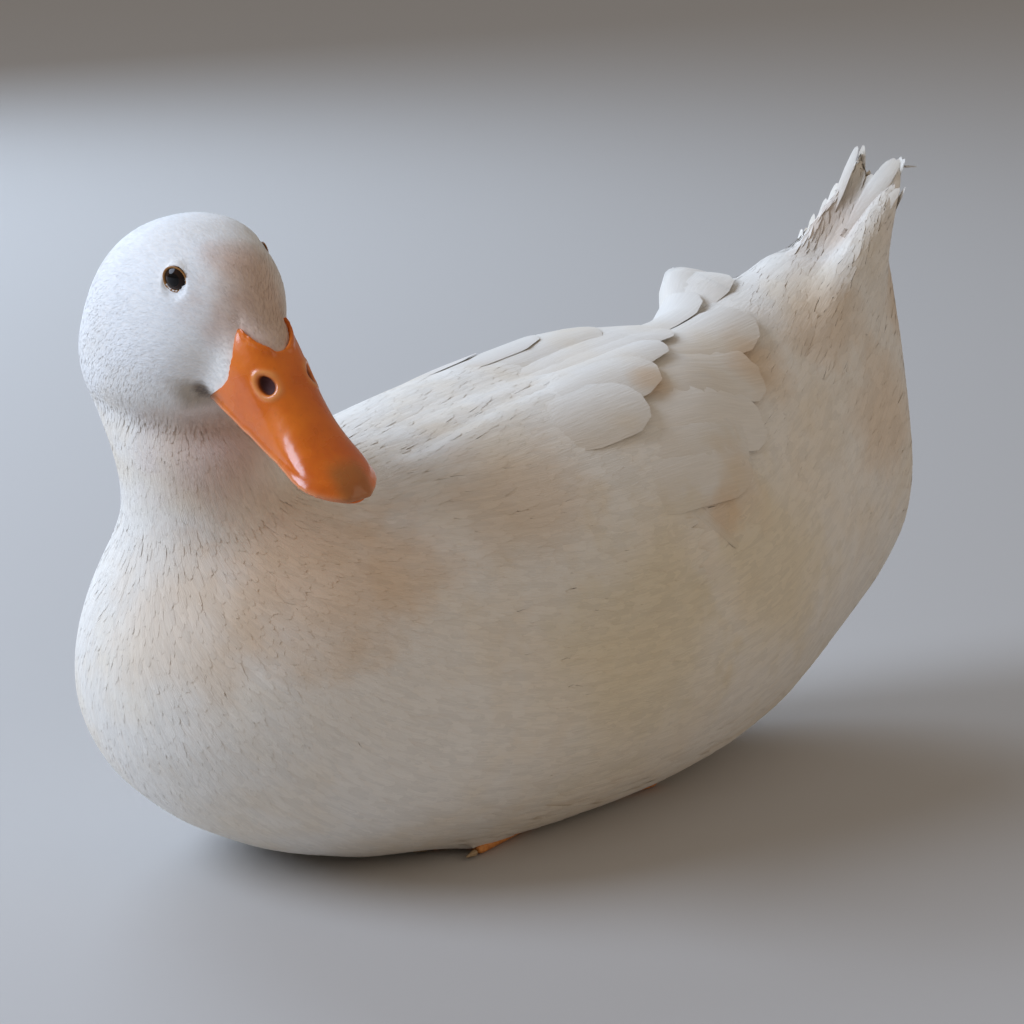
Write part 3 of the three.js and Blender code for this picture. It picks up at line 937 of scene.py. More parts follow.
def grow(name, roots, length, half, rise, seed, unwrap, columns=5, rows=5, fray=0.07, blunt=0.4,
         crown=0.12, sway=0.12, body_radius=80 * MM, base=0.2, lean=0.15, sunk=0.5 * MM, free=False):
    """One mesh of feathers from roots (N, 3). Sizes are arrays of N. blunt is how much shorter
    the edge barbs are than the middle ones and base is how wide a vane is at its root. lean is how
    much its soft normals fan out, and sunk is how deep its root stands in the skin."""
    dice = np.random.default_rng(seed)
    n = len(roots)
    length = length * dice.uniform(0.85, 1.15, n)
    half = half * dice.uniform(0.85, 1.15, n)
    rise = rise * dice.uniform(0.9, 1.12, n)
    places, normals, ahead = walk(roots, length / (rows - 1), rows, dice.normal(0, sway, n), free)
    across = np.cross(ahead, normals)
    x = np.linspace(-1, 1, columns)
    end = 1 - blunt * (1 - np.sqrt(np.maximum(1 - 0.98 * x ** 2, 0)))
    end = end * (1 - fray * dice.uniform(0, 1, (n, columns)))
    q = np.linspace(0, 1, rows)
    s = q[None, :, None] * (1 - (1 - end[:, None, :]) * q[None, :, None] ** 2)
    wide = (base + (1 - base) * smooth(q, 0, 0.55))[None, :, None] * x * half[:, None, None]
    high = rise[:, None, None] * (s ** 0.9 - TUCK * x ** 2)
    high = high - (sunk * (1 - smooth(q, 0, 0.3)))[None, :, None]
    high = high + crown * half[:, None, None] * (1 - x ** 2) * smooth(q, 0, 0.3)[None, :, None]
    high = high - wide ** 2 / (2 * body_radius)
    out, aside = on_trail(normals, s), on_trail(across, s)
    spot = on_trail(places, s) + aside * wide[..., None] + out * high[..., None]
    fan = x[None, None, :, None] * (lean + half / body_radius)[:, None, None, None]
    top = unit(out + aside * fan)
    bake = unwrap(places[:, 0])
    facts = {
        "reach": s,
        "tone": np.broadcast_to(dice.uniform(0, 1, n)[:, None, None], s.shape),
    }
    return write_vanes(name, spot, top, s, x, facts, bake)


# %% Write vanes as one mesh
BAKE_PATCH = 0.003  # the side of one vane's patch on the OFBake map


def write_vanes(name, spot, top, s, x, facts, bake, grain=1):
    """The mesh of all vanes, with soft normals, the Vane map along them and the OFBake map."""
    n, rows, columns, _ = spot.shape
    upper, lower = vane_faces(columns, rows)
    faces = upper + lower
    corner_count = np.array([len(f) for f in faces])
    corner = np.concatenate(faces)
    verts = rows * columns
    loops = (corner[None, :] + np.arange(n)[:, None] * verts).ravel()
    totals = np.tile(corner_count, n)
    mesh = bpy.data.meshes.new(name)
    mesh.vertices.add(n * verts)
    mesh.vertices.foreach_set("co", spot.astype(np.float32).ravel())
    mesh.loops.add(len(loops))
    mesh.loops.foreach_set("vertex_index", loops.astype(np.int32))
    mesh.polygons.add(len(totals))
    mesh.polygons.foreach_set("loop_start", np.r_[0, np.cumsum(totals)[:-1]].astype(np.int32))
    mesh.polygons.foreach_set("loop_total", totals.astype(np.int32))
    mesh.update(calc_edges=True)
    mesh.shade_smooth()
    for label, values in facts.items():
        fact = mesh.attributes.new(label, "FLOAT", "POINT")
        fact.data.foreach_set("value", values.astype(np.float32).ravel())
    local = np.stack([np.broadcast_to(x * 0.5 + 0.5, s.shape), s], -1).reshape(-1, 2)
    patch = np.repeat(bake, verts, 0) + (local - 0.5) * BAKE_PATCH
    for label, values in (("OFBake", patch), ("Vane", local * grain)):
        layer = mesh.uv_layers.new(name=label)
        layer.data.foreach_set("uv", values[loops].astype(np.float32).ravel())
    is_top = np.tile(np.repeat(np.arange(len(faces)) < len(upper), corner_count), n)
    soft = top.reshape(-1, 3)[loops]
    mesh.normals_split_custom_set(np.where(is_top[:, None], soft, -soft).tolist())
    mesh.materials.append(feather_finish)
    piece = bpy.data.objects.new(name, mesh)
    bpy.context.scene.collection.objects.link(piece)
    print(f"{name}: {n} vanes, {(corner_count - 2).sum() * n} triangles")
    return piece


# %% [markdown]
# ## Where the roots stand
#
# Real feathers grow in tracts, evenly spaced and never in rows that one could see. A grid of roots
# would show. A Poisson spread in Geometry Nodes keeps them a set distance apart by chance, with a
# fixed seed. Each coat piece then gets the roots on its own part of the body.

# %% Spread roots over the skin
def spread_tree():
    group = bpy.data.node_groups.new("spread_roots", "GeometryNodeTree")
    face = group.interface
    face.new_socket("Geometry", in_out="INPUT", socket_type="NodeSocketGeometry")
    face.new_socket("Spacing", in_out="INPUT", socket_type="NodeSocketFloat")
    face.new_socket("Density", in_out="INPUT", socket_type="NodeSocketFloat")
    face.new_socket("Seed", in_out="INPUT", socket_type="NodeSocketInt")
    face.new_socket("Geometry", in_out="OUTPUT", socket_type="NodeSocketGeometry")
    entry = group.nodes.new("NodeGroupInput")
    leave = group.nodes.new("NodeGroupOutput")
    spread = group.nodes.new("GeometryNodeDistributePointsOnFaces")
    spread.distribute_method = "POISSON"
    to_mesh = group.nodes.new("GeometryNodePointsToVertices")
    group.links.new(entry.outputs["Geometry"], spread.inputs["Mesh"])
    group.links.new(entry.outputs["Spacing"], spread.inputs["Distance Min"])
    group.links.new(entry.outputs["Density"], spread.inputs["Density Max"])
    group.links.new(entry.outputs["Seed"], spread.inputs["Seed"])
    group.links.new(spread.outputs["Points"], to_mesh.inputs["Points"])
    group.links.new(to_mesh.outputs["Mesh"], leave.inputs["Geometry"])
    return group


def set_inputs(modifier, **values):
    for item in modifier.node_group.interface.items_tree:
        if item.item_type == "SOCKET" and item.in_out == "INPUT" and item.name in values:
            modifier[item.identifier] = values[item.name]


spreading = spread_tree()
print("inputs of the spread:", [i.name for i in spreading.interface.items_tree if i.in_out == "INPUT"])


def spread_roots(spacing, seed):
    """Places on the skin, about a spacing apart."""
    modifier = skin.modifiers.new("spread", "NODES")
    modifier.node_group = spreading
    set_inputs(modifier, Spacing=spacing, Density=1.6 / spacing ** 2, Seed=seed)
    ready = skin.evaluated_get(bpy.context.evaluated_depsgraph_get())
    cloud = bpy.data.meshes.new_from_object(ready)
    skin.modifiers.remove(modifier)
    roots = points_of(cloud)
    bpy.data.meshes.remove(cloud)
    return roots


# %% Keep roots off the bill, the eyes and the feet
BARE = [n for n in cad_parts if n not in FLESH]
OFF_HORN = 2.5 * MM  # roots nearer to the bill than this stay off it outside the coat's edge
OFF_LIDS = 1.2 * MM


def home_of(roots):
    """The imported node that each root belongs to, and empty where it is bare or in an eye."""
    _, normals = nearest_skin(roots)
    surface = roots + normals * by_place(COAT_DEPTH, roots)[:, None]
    near_bare = [n for n in BARE if n not in ("eye_left", "eye_right")]
    for n in near_bare:
        if n not in node_trees:
            node_trees[n] = tree_of(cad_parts[n].data)
    home, gaps = nearest_node(surface, FLESH + near_bare)
    inside = covered(roots)
    bill_gap = gaps[[(FLESH + near_bare).index(n) for n in BILLS]].min(0)
    home[np.isin(home, BILLS) & (inside > 0)] = "head"
    over_bill = (bill_gap < OFF_HORN) | (in_head(roots)[:, 2] > -30)
    home[(home == "head") & over_bill & (inside <= 0)] = ""
    for side in ("left", "right"):
        out, off_axis = across_eye(side, roots)
        home[(out > 0) & (off_axis < EYE_OPEN + OFF_LIDS)] = ""
    home[np.isin(home, BARE)] = ""
    return home


print("bare of feathers:", len(BARE), "nodes")


# %% Unwrap the skin round an axis
def unwrap_round(centre, axis):
    """Unwraps places on a cylinder round an axis: the angle and the height, from 0 to 1."""
    axis = unit(np.asarray(axis, float))
    side = unit(np.cross(axis, [0.31, 0.22, 0.92]))
    front = np.cross(axis, side)

    def unwrapped(places):
        offset = places - centre
        angle = np.arctan2(offset @ side, offset @ front) / (2 * math.pi) + 0.5
        height = offset @ axis
        height = (height - height.min()) / (np.ptp(height) + 1e-9)
        return 0.01 + 0.98 * np.stack([angle, height], 1)

    return unwrapped


# %% [markdown]
# ## The soft coat
#
# The head wears short velvet, the neck fine streaks and the body broader feathers. One mesh for
# all would be too heavy to handle, so each part of the body is a piece of its own. They share their
# tables of sizes, so no border shows between them.

# %% Grow a piece of the coat
pieces = {}


def coat(name, spacing, seed, keep, homes, unwrap, **shape):
    """A piece of the coat: feathers where keep says so, on the skin that belongs to homes."""
    roots = spread_roots(spacing, seed)
    roots = roots[keep(roots)]
    roots = roots[np.isin(home_of(roots), homes)]
    sizes = [by_place(table, roots) for table in (COAT_LENGTH, COAT_HALF, COAT_DEPTH)]
    pieces[name] = grow(name, roots, *sizes, seed, unwrap, **shape)


def facing(places):
    return nearest_skin(places)[1]


print("packed nodes that wear the coat:", ", ".join(FLESH))


# %% Head and neck
head_middle = head_place(-20, 0, -22)
coat("head_feathers", 0.8 * MM, 1, lambda p: along_body(p) < 3.6, ["head"],
     unwrap_round(head_middle, to_left), columns=3, rows=3, blunt=0.5, sway=0.25,
     body_radius=32 * MM, crown=0.1, base=0.5, lean=0.05, sunk=0.15 * MM)
coat("neck_feathers", 1.2 * MM, 2, lambda p: np.abs(along_body(p) - 3.5) < 2, ["neck"],
     unwrap_round(neck_middle, UP), columns=5, rows=4, blunt=0.45, sway=0.08,
     body_radius=34 * MM, crown=0.08, base=0.35, lean=0.03, sunk=0.25 * MM)
print("on the head and neck:", [len(pieces[n].data.polygons) for n in ("head_feathers", "neck_feathers")])

# %% Breast and flanks
FRONT_END, REAR_START = -105 * MM, 112 * MM
long_axis = np.array([0.0, 1.0, 0.0])
body_middle = np.array([spine[0], 0, 90 * MM])


def amidships(p):
    return (p[:, 1] >= FRONT_END) & (p[:, 1] < REAR_START)


round_body = unwrap_round(body_middle, long_axis)
LOOSE = {"sway": 0.06, "blunt": 0.55, "fray": 0.15, "crown": 0.05, "base": 0.28, "lean": 0.05}
for side, sign in (("left", 1), ("right", -1)):
    coat(f"breast_feathers_{side}", 2.0 * MM, 3,
         lambda p: (p[:, 1] < FRONT_END) & ((p[:, 0] - spine[0]) * sign > 0), ["trunk"],
         round_body, columns=5, rows=5, sway=0.06, body_radius=60 * MM, blunt=0.45, fray=0.15,
         crown=0.05, base=0.3, lean=0.03, sunk=0.4 * MM)
    coat(f"flank_feathers_{side}", 2.4 * MM, 5,
         lambda p: amidships(p) & (np.abs(facing(p)[:, 2]) <= 0.55) & ((p[:, 0] - spine[0]) * sign > 0),
         ["trunk"], round_body, columns=5, rows=6, **LOOSE)

# %% Belly, back and rump
TAIL_START = 168 * MM  # the height above which feathers stand free at their tips


def on_tail(p):
    return (p[:, 1] > 140 * MM) & (p[:, 2] > TAIL_START)


coat("belly_feathers", 4.6 * MM, 4, lambda p: amidships(p) & (facing(p)[:, 2] < -0.55), ["trunk"],
     round_body, columns=5, rows=5)
coat("back_feathers", 2.6 * MM, 6, lambda p: amidships(p) & (facing(p)[:, 2] > 0.55), ["trunk"],
     round_body, columns=5, rows=6, **LOOSE)
coat("rump_feathers", 2.8 * MM, 7, lambda p: (p[:, 1] >= REAR_START) & ~on_tail(p), ["trunk", "tail"],
     round_body, columns=5, rows=6, **LOOSE)


# %% [markdown]
# ## Wings
#
# The broad feathers of a folded wing stand in rows. Spread by chance like the soft ones, they would
# show no row, so they are laid one by one along paths on the body: each row says where its first
# and last feather has root and tip. Places are given as along the body in millimetres and as an
# angle round it, from the left side over the back. The other wing is the same rows mirrored.

# %% Long feathers on paths
def evened(values):
    """Evens values out along the paths, with their ends kept."""
    for _ in range(3):
        values = values.copy()
        values[:, 1:-1] = values[:, 1:-1] * 0.5 + (values[:, :-2] + values[:, 2:]) * 0.25
    return values


def plumes(name, paths, half, rise, seed, columns=9, blunt=0.3, fray=0.02, base=0.45,
           shaft=0.06 * MM, normals=None, tilt=0.0, crown=0.05):
    """Long closed vanes along paths (N, rows, 3), with a shaft. rise is (N, rows), and tilt is how
    much higher one edge lies than the other. Without normals they follow the skin."""
    on_skin = normals is None
    dice = np.random.default_rng(seed)
    n, rows, _ = paths.shape
    if normals is None:
        paths = evened(paths)
        normals = evened(nearest_skin(paths)[1])
    ahead = unit(np.gradient(paths, axis=1))
    normals = unit(normals - ahead * (normals * ahead).sum(-1, keepdims=True))
    across = np.cross(ahead, normals)
    x = np.linspace(-1, 1, columns)
    x = np.sign(x) * np.abs(x) ** 1.2
    end = 1 - blunt * (1 - np.sqrt(np.maximum(1 - 0.99 * x ** 2, 0)))
    end = end * (1 - fray * dice.uniform(0, 1, (n, columns)))
    q = np.linspace(0, 1, rows)
    s = q[None, :, None] * (1 - (1 - end[:, None, :]) * q[None, :, None] ** 3)
    wide = (base + (1 - base) * smooth(q, 0, 0.5))[None, :, None] * x * half[:, None, None]
    high = rise[:, :, None] + crown * half[:, None, None] * (1 - x ** 2) * smooth(q, 0.1, 0.8)[:, None]
    high = high + tilt * x * q[:, None]
    high = high + shaft * np.exp(-((x / 0.12) ** 2)) * (1 - q)[None, :, None] ** 0.5
    out, aside = on_trail(normals, s), on_trail(across, s)
    spot = on_trail(paths, s) + aside * wide[..., None]
    if on_skin:
        spot, under = nearest_skin(spot)
        out = unit(out + under)
    spot = spot + out * high[..., None]
    top = unit(out + aside * 0.3 * x[None, None, :, None])
    facts = {
        "reach": 0.3 + 0.55 * s,
        "tone": np.broadcast_to(dice.uniform(0, 0.6, n)[:, None, None], s.shape),
    }
    bake = round_body(paths[:, 0])
    return write_vanes(name, spot, top, s, x, facts, bake, grain=4)


# %% Rows of broad wing feathers
# Columns: feathers, first root (y, angle), last root, first tip, last tip, half width, rise of the
# first tip and of the last, how much shorter the edges are than the middle, and the crown.
wing_rows = [
    (2, (-34, 30), (-24, 39), (52, 33), (62, 41), 12, 2.2, 2.2, 0.2, 0.05),
    (3, (-16, 48), (4, 78), (80, 49), (110, 80), 16, 2.4, 3.2, 0.12, 0.05),
    (4, (-48, 54), (-8, 88), (16, 57), (76, 88), 16, 2.6, 3.2, 0.25, 0.05),
    (1, (2, 34), (2, 34), (35, 12), (35, 12), 3.0, -0.3, -0.3, 0.6, 0.5),
]
# The right wing's raised tip has a row of its own.
RAISED_TIP = (4, (84, 60), (96, 82), (134, 60), (128, 82), 10, 3.0, 2.5, 0.3, 0.1)
PATH_ROWS = 12


def row_paths(row, mirror):
    """The paths of a row's feathers over the skin, on the left wing or mirrored on the right."""
    count, root_a, root_b, tip_a, tip_b, *_ = row
    paths = []
    for k in range(count):
        share = k / max(count - 1, 1)
        root = np.array(root_a) * (1 - share) + np.array(root_b) * share
        tip = np.array(tip_a) * (1 - share) + np.array(tip_b) * share
        walk_on = []
        for q in np.linspace(0, 1, PATH_ROWS):
            y, angle = root * (1 - q) + tip * q
            walk_on.append(on_body(y, 180 - angle if mirror else angle))
        paths.append(walk_on)
    return np.array(paths)


def join_pieces(name, parts):
    """One object from several that share their maps and facts."""
    bpy.ops.object.select_all(action="DESELECT")
    for part in parts:
        part.select_set(True)
    bpy.context.view_layer.objects.active = parts[0]
    bpy.ops.object.join()
    parts[0].name = parts[0].data.name = name
    return parts[0]


print("broad feathers on a wing:", sum(row[0] for row in wing_rows))

# %% Wing feathers and coverts
WING_END_ANGLES = [20, 33, 42, 50, 63, 79, 90]
WING_END = [20, 50, 62, 78, 96, 112, 90]  # the y, in millimetres, where the broad feathers end
q = np.linspace(0, 1, PATH_ROWS)
for side, mirror in (("left", False), ("right", True)):
    parts = []
    sign = -1 if mirror else 1
    for k, row in enumerate(wing_rows + [RAISED_TIP] * mirror):
        tip_rise = np.linspace(row[6], row[7], row[0])
        rise = (tip_rise[:, None] * q[None, :] ** 1.6 - 0.6 * (1 - q[None, :]) ** 3) * MM
        half, paths = np.full(row[0], row[5] * MM), row_paths(row, mirror)
        shape = {"blunt": row[8], "crown": row[9], "tilt": 0.4 * MM * sign * (row[0] > 1)}
        parts.append(plumes(f"row_{side}_{k}", paths, half, rise, 20 + k, **shape))
    roots = spread_roots(2.5 * MM, 8)
    aside = (roots[:, 0] - spine[0]) * sign
    round_angle = np.degrees(np.arctan2(roots[:, 2] - body_middle[2], aside))
    wing_end = np.interp(round_angle, WING_END_ANGLES, WING_END) * MM
    under_rows = (roots[:, 1] > -8 * MM) & (roots[:, 1] < wing_end - 14 * MM)
    roots = roots[(aside > 0) & ~under_rows]
    roots = roots[np.isin(home_of(roots), [f"wing_{side}"])]
    covert = [by_place(table, roots) for table in (COAT_LENGTH, COAT_HALF, COAT_DEPTH)]
    parts.append(grow(f"coverts_{side}", roots, *covert, 9, round_body, columns=5, rows=6, **LOOSE))
    pieces[f"wing_feathers_{side}"] = join_pieces(f"wing_feathers_{side}", parts)

# %% [markdown]
# ## Tail feathers
#
# The real tail is a fan of stiff feathers in a soft sleeve. Long vanes alone would leave gaps, and
# soft ones alone would have no edge to stand out. So long ones stand in two layers along the top of
# the tail's ridge, front and back, and soft ones cover the rest and run free past its top.

# %% Long and soft tail feathers
q = np.linspace(0, 1, PATH_ROWS)[None, :, None]
TAIL_LENGTH = 40  # of the long feathers, in millimetres
# Each long feather's place aside, and the place of its tip, in millimetres.
fan = np.linspace(-24, 28, 14)
tips = np.stack([fan] + [np.interp(fan, TAIL_CORE[:, 0], TAIL_CORE[:, c]) for c in (1, 2)], 1)
tips[:, 2] += np.where(fan < -6, 0.0, 1.0)
parts = []
for k, (facing_side, ahead_of) in enumerate(((1, -2.0), (-1, 1.0))):
    toward = unit(np.stack([-0.6 * fan, 0 * fan - 17 - 9 * facing_side, 0 * fan - 40], 1))
    ends = tips + [0, ahead_of, 0]
    tail_paths = ((ends + toward * TAIL_LENGTH)[:, None] * (1 - q) + ends[:, None] * q) * MM
    tilt = facing_side * fan / 30
    across = np.stack([np.cos(tilt), 0 * tilt, -np.sin(tilt)], -1)[:, None] * facing_side
    out = unit(np.cross(across + 0 * tail_paths, unit(np.gradient(tail_paths, axis=1))))
    lift = ((np.arange(len(fan)) % 2) * 0.3 - 0.1)[:, None] * MM + 0 * q[..., 0]
    half = np.where(np.abs(fan + 4) < 5, 2.6, 4.6 - np.abs(fan) / 14) * MM
    parts.append(plumes(f"tail_tips_{k}", tail_paths, half, lift, 30 + k, blunt=0.3, normals=out))
roots = spread_roots(2.2 * MM, 12)
roots = roots[on_tail(roots)]
roots = roots[np.isin(home_of(roots), ["trunk", "tail"])]
soft = [by_place(table, roots) for table in (COAT_LENGTH, COAT_HALF, COAT_DEPTH)]
stands_up = (roots[:, 0] > -8 * MM) & (roots[:, 0] < 22 * MM)
parts.append(grow("tail_soft", roots, *soft, 13, round_body, columns=5, rows=6, free=stands_up,
                  **LOOSE))
pieces["tail_feathers"] = join_pieces("tail_feathers", parts)


# %% [markdown]
# ## Eyes
#
# The eye is a ball with a clear bulging cornea. Its dark brown iris is seen only as a faint ring
# round a large pupil. Iris and pupil could be discs behind a glass shell. At this size, rings of
# colour by distance from the pupil under a glossy coat look the same and never show an edge.

# %% Eyeballs
def ball_mesh(name, centre, axis, radius):
    """A closed ball whose pole looks along axis, with a cornea that stands out a little."""
    shape = bmesh.new()
    bmesh.ops.create_uvsphere(shape, u_segments=48, v_segments=24, radius=1)
    turn = Vector(axis).to_track_quat("Z", "Y").to_matrix()
    for vert in shape.verts:
        bulge = 1 + 0.04 * float(smooth(np.array(vert.co.z), 0.7, 1.0))
        vert.co = turn @ (vert.co * radius * bulge) + Vector(centre)
    mesh = bpy.data.meshes.new(name)
    shape.to_mesh(mesh)
    shape.free()
    mesh.shade_smooth()
    return mesh


def place_piece(name, mesh, material):
    """A piece of this mesh and one material, put in the scene."""
    mesh.materials.clear()
    mesh.materials.append(material)
    piece = bpy.data.objects.new(name, mesh)
    bpy.context.scene.collection.objects.link(piece)
    pieces[name] = piece
    return piece


# Columns: where the ring's colour starts and is full, in millimetres from the pupil, and the colour.
EYE_RINGS = [(2.3, 2.7, (0.022, 0.010, 0.006)), (3.6, 4.6, (0.012, 0.008, 0.006))]
for side in ("left", "right"):
    finish, tree, shader = blank_material(
        f"eye_{side}_finish", Roughness=0.05, Coat_Weight=0.1, Coat_Roughness=0.02
    )
    shader.inputs["Specular IOR Level"].default_value = 0.2
    pupil = eye_seats[side] + eye_axes[side] * EYE_RADIUS * 1.04
    place = add(tree, "TexCoord").outputs["Object"]
    gap = add(tree, "VectorMath", {0: place, 1: pupil}, operation="DISTANCE").outputs["Value"]
    iris = (0.003, 0.0025, 0.003)
    for low, high, tint in EYE_RINGS:
        iris = blend_colour(tree, ramp(tree, gap, low * MM, high * MM), iris, tint)
    tree.links.new(iris, shader.inputs["Base Color"])
    mesh = ball_mesh(f"eyeball_{side}", eye_seats[side], eye_axes[side], EYE_RADIUS)
    place_piece(f"eyeball_{side}", mesh, finish)
print("eyeballs:", 2 * EYE_RADIUS / MM, "mm across")


# %% [markdown]
# ## Rims of the lids
#
# The feathers end at a thin fleshy rim, tan-orange and bare, drawn out to a corner towards the
# bill. A torus would be round and even. A tube along a curve with its own corner, laid on the
# eyeball, gives the real outline and hides the line where the skin meets the ball.

# %% The rings of a lid
# Sizes in millimetres, and the corner's angle below the line to the bill.
LID = {"long": 4.7, "tall": 4.4, "corner": 1.1, "corner_at": 34, "thick": 0.35, "wide": 0.4}
LID["out"] = 0.42  # how far the tube's middle lies out from the ball


def lid_ring(side):
    """Rings of points for a closed tube that lies on the eyeball round the opening."""
    axis = eye_axes[side]
    ahead = unit(to_bill - axis * (to_bill @ axis))
    above = unit(to_crown - axis * (to_crown @ axis) - ahead * (to_crown @ ahead))
    rings = []
    for theta in np.linspace(0, 2 * math.pi, 72, endpoint=False):
        from_corner = (math.degrees(theta) + LID["corner_at"] + 180) % 360 - 180
        longer = LID["corner"] * math.exp(-((from_corner / 17) ** 2))
        u = (LID["long"] + longer) * math.cos(theta) * MM
        w = (LID["tall"] + longer) * math.sin(theta) * MM
        ball = EYE_RADIUS + LID["out"] * MM
        away = unit(ahead * u + above * w + axis * math.sqrt(ball ** 2 - u ** 2 - w ** 2))
        radial = unit(ahead * u + above * w)
        ring = []
        for phi in np.linspace(0, 2 * math.pi, 10, endpoint=False):
            offset = away * math.cos(phi) * LID["thick"] + radial * math.sin(phi) * LID["wide"]
            ring.append(eye_seats[side] + away * ball + offset * MM)
        rings.append(ring)
    return np.array(rings)


print("rings and points in a lid:", lid_ring("left").shape[:2])


# %% Close the lids
def closed_tube(name, rings):
    """A ring-shaped tube: the rings join end to end."""
    n, m, _ = rings.shape
    faces = [(i * m + k, i * m + (k + 1) % m, ((i + 1) % n) * m + (k + 1) % m, ((i + 1) % n) * m + k)
             for i in range(n) for k in range(m)]
    mesh = bpy.data.meshes.new(name)
    mesh.from_pydata(rings.reshape(-1, 3).tolist(), [], faces)
    shape = bmesh.new()
    shape.from_mesh(mesh)
    bmesh.ops.recalc_face_normals(shape, faces=shape.faces)
    shape.to_mesh(mesh)
    shape.free()
    mesh.shade_smooth()
    return mesh


lid_finish, tree, shader = blank_material("eyelid_finish", Roughness=0.42)
place = add(tree, "TexCoord").outputs["Object"]
grain = add(tree, "TexNoise", {"Vector": place, "Scale": 900.0, "Detail": 2.0}).outputs[0]
colour = blend_colour(tree, grain, (0.42, 0.19, 0.035), (0.26, 0.10, 0.02))
tree.links.new(colour, shader.inputs["Base Color"])
for side in ("left", "right"):
    ring = closed_tube(f"eyelid_{side}", lid_ring(side))
    place_piece(f"eyelid_{side}", ring, lid_finish)
print("lids:", len(ring.polygons), "faces each")


# %% [markdown]
# ## The bill
#
# The bill is horn under a thin skin, smooth and wet, with a bead along its rim, a ridge round each
# nostril and a nail at its tip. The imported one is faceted. Subdividing it would keep its corners, so
# a fine melt of it is relaxed, and the small forms are raised on that in the head's own axes.

# %% The bill's edge and its bare root
NOSTRIL = {"along": 44.5, "height": -26, "slant": math.radians(-30), "long": 4.3, "wide": 2.5}
upper_points = in_head(points_of(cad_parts["upper_bill"].data))
edge_along = np.arange(10, 90, 4)
edge_height = np.array([upper_points[np.abs(upper_points[:, 0] - u) < 3, 2].min() for u in edge_along])


def bump_at(value, centre, width):
    """A soft bump that is 1 at the centre and dies away over the width."""
    return np.exp(-((value - centre) / width) ** 2)


def bill_points():
    """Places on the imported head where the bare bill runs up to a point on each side."""
    places = []
    for side in np.arange(4, 17, 0.8):
        for height in np.arange(-19, -7.5, 0.8):
            for sign in (1, -1):
                start = head_place(60, side * sign, height)
                hit = node_trees["head"].ray_cast(Vector(start), Vector(-to_bill))[0]
                if hit is not None:
                    places.append(np.array(hit) - to_bill * 0.5 * MM)
    places = np.array(places)
    return places[covered(places) < 0.3]


print("the upper bill's edge lies", -edge_height.max().round(1), "to", -edge_height.min().round(1),
      "mm under the eyes")


# %% Sculpt the bill
def sculpted(name, node_name):
    """A half of the bill: a relaxed melt of its node with the small forms raised, and their masks."""
    beads = bill_points() if node_name == "upper_bill" else ()
    piece = melted(name, [node_name], 0.6 * MM, beads=beads)
    mesh = piece.data
    spots = relaxed(mesh, points_of(mesh), 12)
    set_points(mesh, spots)
    along, side, height = in_head(spots).T
    over_edge = height - np.interp(along, edge_along, edge_height)
    outer = np.maximum(np.abs(normals_of(mesh) @ to_left), smooth(along, 78, 84))
    rim = bump_at(over_edge, 0.9, 1.1) * smooth(outer, 0.2, 0.6)
    groove = bump_at(over_edge, 3.6, 1.3) * smooth(outer, 0.2, 0.6)
    du, dw = along - NOSTRIL["along"], height - NOSTRIL["height"]
    slant = NOSTRIL["slant"]
    round_hole = np.hypot((du * math.cos(slant) + dw * math.sin(slant)) / NOSTRIL["long"],
                          (dw * math.cos(slant) - du * math.sin(slant)) / NOSTRIL["wide"])
    on_side = smooth(np.abs(side), 4, 7) * (normals_of(mesh) @ to_crown > -0.3)
    ridge = bump_at(round_hole, 1.25, 0.28) * on_side
    hollow = (1 - smooth(round_hole, 0.75, 1.0)) * on_side
    nail = smooth(along, 74, 83) * (1 - smooth(np.abs(side), 4, 10)) * smooth(over_edge, -2, 1)
    if node_name == "lower_bill":
        rim, groove, ridge, hollow, nail = rim * 0.4, groove * 0, ridge * 0, hollow * 0, nail * 0
    gape_shade = np.exp(-(((along - 19) / 5) ** 2 + ((height + 40) / 3.5) ** 2))
    under_coat = smooth(covered(spots), 0, 0.8)
    raised = 0.45 * rim - 0.25 * groove + 0.4 * ridge + 0.3 * nail - 0.9 * hollow - 2 * under_coat
    set_points(mesh, spots + normals_of(mesh) * raised[:, None] * MM)
    shades = {"rim": rim, "ridge": ridge, "hollow": hollow, "nail": nail, "gape_shade": gape_shade}
    for label, values in shades.items():
        fact = mesh.attributes.new(label, "FLOAT", "POINT")
        fact.data.foreach_set("value", values.astype(np.float32))
    mesh.shade_smooth()
    print(f"{name}: {len(mesh.polygons)} faces")
    return piece


# %% [markdown]
# ## The bill's finish
#
# Horn is deep orange, broadly mottled, with fine pores and a clear wet coat, paler at the rims where
# it thins and where a highlight along the lip is painted, and browner on the nail. The nostril's
# hollow and the corners of the mouth are painted dark as shade. The shapes raised above left their
# masks on the mesh, so each tint lies exactly on its shape.

# %% Bill finish
bill_finish, tree, shader = blank_material(
    "bill_horn", Coat_Roughness=0.1, Subsurface_Weight=0.12,
    Subsurface_Radius=(0.004, 0.0015, 0.0005), Subsurface_Scale=1.0,
)
place = add(tree, "TexCoord").outputs["Object"]
broad = add(tree, "TexNoise", {"Vector": place, "Scale": 55.0, "Detail": 3.0}).outputs[0]
pores = add(tree, "TexNoise", {"Vector": place, "Scale": 700.0, "Detail": 3.0}).outputs[0]
pits = add(tree, "TexVoronoi", {"Vector": place, "Scale": 420.0}).outputs[0]
DEEP_ORANGE, ORANGE, PORE = (0.66, 0.118, 0.0002), (0.82, 0.180, 0.0004), (0.42, 0.065, 0.001)
colour = blend_colour(tree, ramp(tree, broad, 0.3, 0.7), DEEP_ORANGE, ORANGE)
colour = blend_colour(tree, ramp(tree, pores, 0.55, 0.8, 0, 0.2), colour, PORE)
